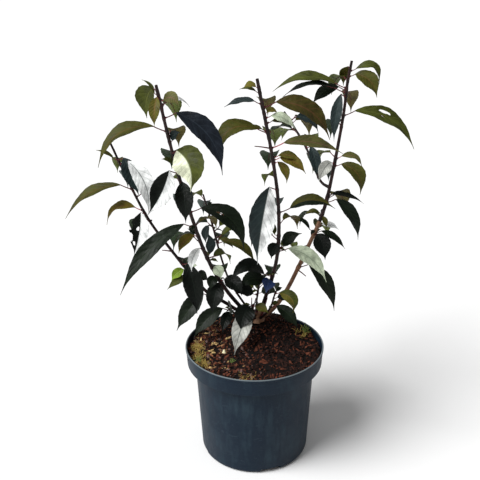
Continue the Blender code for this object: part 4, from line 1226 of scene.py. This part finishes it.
        # The two halves fold up from the midrib, and the margin ripples.
        start = add(tree, MATH, t, 13.0, add(tree, NAMED, "phase")[0], operation="MULTIPLY_ADD")
        turn = add(tree, MATH, u, 1.4, start, operation="MULTIPLY_ADD")
        wave = add(tree, MATH, turn, operation="SINE")
        square = add(tree, MATH, u, u, operation="MULTIPLY")
        ripple = add(tree, MATH, square, given["Ripple"], operation="MULTIPLY")
        rippled = add(tree, MATH, wave, ripple, operation="MULTIPLY")
        rise = add(tree, MATH, away, 1.2, operation="POWER")
        folded = add(tree, MATH, rise, given["Fold"], rippled, operation="MULTIPLY_ADD")
        height = add(tree, MATH, width, folded, operation="MULTIPLY")
        sideways = add(tree, VECTOR, side, out, operation="SCALE")
        lifted = add(tree, VECTOR, upward, height, operation="SCALE")
        moved = add(tree, VECTOR, sideways, lifted, operation="ADD")
        spot = add(tree, VECTOR, middle, moved, operation="ADD")
        leaf = add(tree, "GeometryNodeSetPosition", leaf, None, spot)
        if eaten:
            here = add(tree, "GeometryNodeInputPosition")
            eased = add(tree, "GeometryNodeBlurAttribute", here, 3, 1.0, data_type="FLOAT_VECTOR")
            leaf = add(tree, "GeometryNodeSetPosition", leaf, beside_hole, eased)
        right = add(tree, MATH, u, -0.1, operation="LESS_THAN")
        tint = add(tree, MIX, right, add(tree, NAMED, "left_tint")[0], add(tree, NAMED, "right_tint")[0],
                   data_type="FLOAT")
        leaf = add(tree, STORE, leaf, None, "worn", tint, data_type="FLOAT", domain="FACE")

        # The upper skin stands off by the thickness, and its rim is welded to the underside.
        thick, top, rim = add(tree, "GeometryNodeExtrudeMesh", leaf, None, None, given["Thickness"], False)
        above = add(tree, MATH, top, rim, operation="MAXIMUM")
        thick = add(tree, STORE, thick, None, "above", above, data_type="FLOAT", domain="FACE")
        under = add(tree, "GeometryNodeFlipFaces", leaf)
        shell = add(tree, "GeometryNodeJoinGeometry", [thick, under])
        shell = add(tree, "GeometryNodeMergeByDistance", shell, None, 0.002 * MM)
        above = add(tree, NAMED, "above")[0]
        for index, upper, lower in skins:
            worn = add(tree, NAMED, "worn")[0]
            mine = add(tree, COMPARE, worn, float(index), 0.1, operation="EQUAL")
            shell = add(tree, SKIN, shell, mine, lower)
            both = add(tree, MATH, mine, above, operation="MULTIPLY")
            shell = add(tree, SKIN, shell, both, upper)
        add(tree, "NodeGroupOutput", shell)
        return tree

    def eat(self, tree, leaf, t, u):
        """Takes out each leaf's own holes, with ragged edges, and says what is beside one."""
        ragged = add(tree, NOISE, add(tree, "ShaderNodeCombineXYZ", t, u), 22.0, 2.0)[0]
        uneven = add(tree, RANGE, ragged, 0.3, 0.7, 0.7, 1.3)
        narrow = add(tree, NAMED, "narrow")[0]
        beside = 0.0
        for k in range(MOST_HOLES):
            hole = add(tree, NAMED, "hole_%d" % k, data_type="FLOAT_VECTOR")[0]
            along, across, size = add(tree, SPLIT, hole)
            down = add(tree, MATH, t, along, operation="SUBTRACT")
            off = add(tree, MATH, u, across, operation="SUBTRACT")
            squeezed = add(tree, MATH, off, narrow, operation="MULTIPLY")
            gap = add(tree, VECTOR, add(tree, "ShaderNodeCombineXYZ", down, squeezed), operation="LENGTH")
            reach = add(tree, MATH, size, uneven, operation="MULTIPLY")
            beyond = add(tree, MATH, gap, reach, operation="SUBTRACT")
            inside = add(tree, MATH, beyond, 0.0, operation="LESS_THAN")
            leaf = add(tree, "GeometryNodeDeleteGeometry", leaf, inside, domain="FACE")
            near = add(tree, MATH, beyond, 0.03, operation="LESS_THAN")
            beside = add(tree, MATH, beside, near, operation="MAXIMUM")
        return leaf, beside


# ---------------------------------------------------------------- stage

class CHERRY_OT_stage(bpy.types.Operator):
    """Sets the pale floor, the soft studio light and the camera"""
    bl_idname = "cherry.stage"
    bl_label = "Stage"

    def execute(self, context):
        stage = context.scene.cherry_stage
        corners = [(x * FLOOR_HALF, y * FLOOR_HALF, 0) for x, y in ((-1, -1), (1, -1), (1, 1), (-1, 1))]
        floor = object_from("studio_floor", corners, (), ((0, 1, 2, 3),))
        floor.data.materials.append(new_material("seamless_paper", stage.floor, 0.9)[0])
        world = bpy.data.worlds.new("white_surround")
        world.use_nodes = True
        # The surround lights the plant dimly, but is seen as white as the floor.
        surround = world.node_tree.nodes["Background"]
        surround.inputs["Color"].default_value = (1.0, 1.0, 1.0, 1.0)
        seen = add(world.node_tree, "ShaderNodeLightPath")[0]
        strength = add(world.node_tree, RANGE, seen, 0.0, 1.0, stage.fill, 1.0)
        world.node_tree.links.new(strength, surround.inputs["Strength"])
        context.scene.world = world
        light = bpy.data.lights.new("key", "SUN")
        light.energy = stage.key
        light.angle = stage.softness
        lamp = bpy.data.objects.new("key", light)
        context.scene.collection.objects.link(lamp)
        lamp.matrix_world = SUN_HEADING.to_track_quat("-Z", "Y").to_matrix().to_4x4()
        lens = bpy.data.cameras.new("camera")
        lens.lens = CAMERA_LENS
        camera = bpy.data.objects.new("camera", lens)
        context.scene.collection.objects.link(camera)
        camera.matrix_world = (Matrix.Translation(CAMERA_AT)
                               @ Matrix.Rotation(math.radians(90 - CAMERA_DOWN), 4, "X")
                               @ Matrix.Rotation(math.radians(CAMERA_ROLL), 4, "Z"))
        context.scene.camera = camera
        context.scene.view_settings.view_transform = "Standard"
        return {"FINISHED"}


class CHERRY_PT_panel(bpy.types.Panel):
    """Lists the pieces in the sidebar"""
    bl_idname = "CHERRY_PT_panel"
    bl_label = "Cherry bush"
    bl_space_type = "VIEW_3D"
    bl_region_type = "UI"
    bl_category = "Cherry"

    def draw(self, context):
        for piece in PIECES:
            self.layout.operator(piece.bl_idname)
        for group in SETTINGS:
            for name in getattr(context.scene, group).bl_rna.properties.keys():
                if name not in ("rna_type", "name"):
                    self.layout.prop(getattr(context.scene, group), name)


PIECES = (CHERRY_OT_pot, CHERRY_OT_compost, CHERRY_OT_stems, CHERRY_OT_stalks, CHERRY_OT_leaves,
          CHERRY_OT_stage)
SETTINGS = {
    "cherry_pot": CHERRY_PotSettings, "cherry_compost": CHERRY_CompostSettings,
    "cherry_wood": CHERRY_WoodSettings, "cherry_leaf": CHERRY_LeafSettings,
    "cherry_stage": CHERRY_StageSettings,
}


def register():
    for made in (*SETTINGS.values(), *PIECES, CHERRY_PT_panel):
        bpy.utils.register_class(made)
    for name, group in SETTINGS.items():
        setattr(bpy.types.Scene, name, PointerProperty(type=group))


def unregister():
    for name in SETTINGS:
        delattr(bpy.types.Scene, name)
    for made in (CHERRY_PT_panel, *PIECES[::-1], *list(SETTINGS.values())[::-1]):
        bpy.utils.unregister_class(made)


def main():
    register()
    bpy.ops.cherry.pot()
    bpy.ops.cherry.compost()
    bpy.ops.cherry.stems()
    bpy.ops.cherry.stalks()
    bpy.ops.cherry.leaves()
    bpy.ops.cherry.stage()


if __name__ == "__main__":
    main()
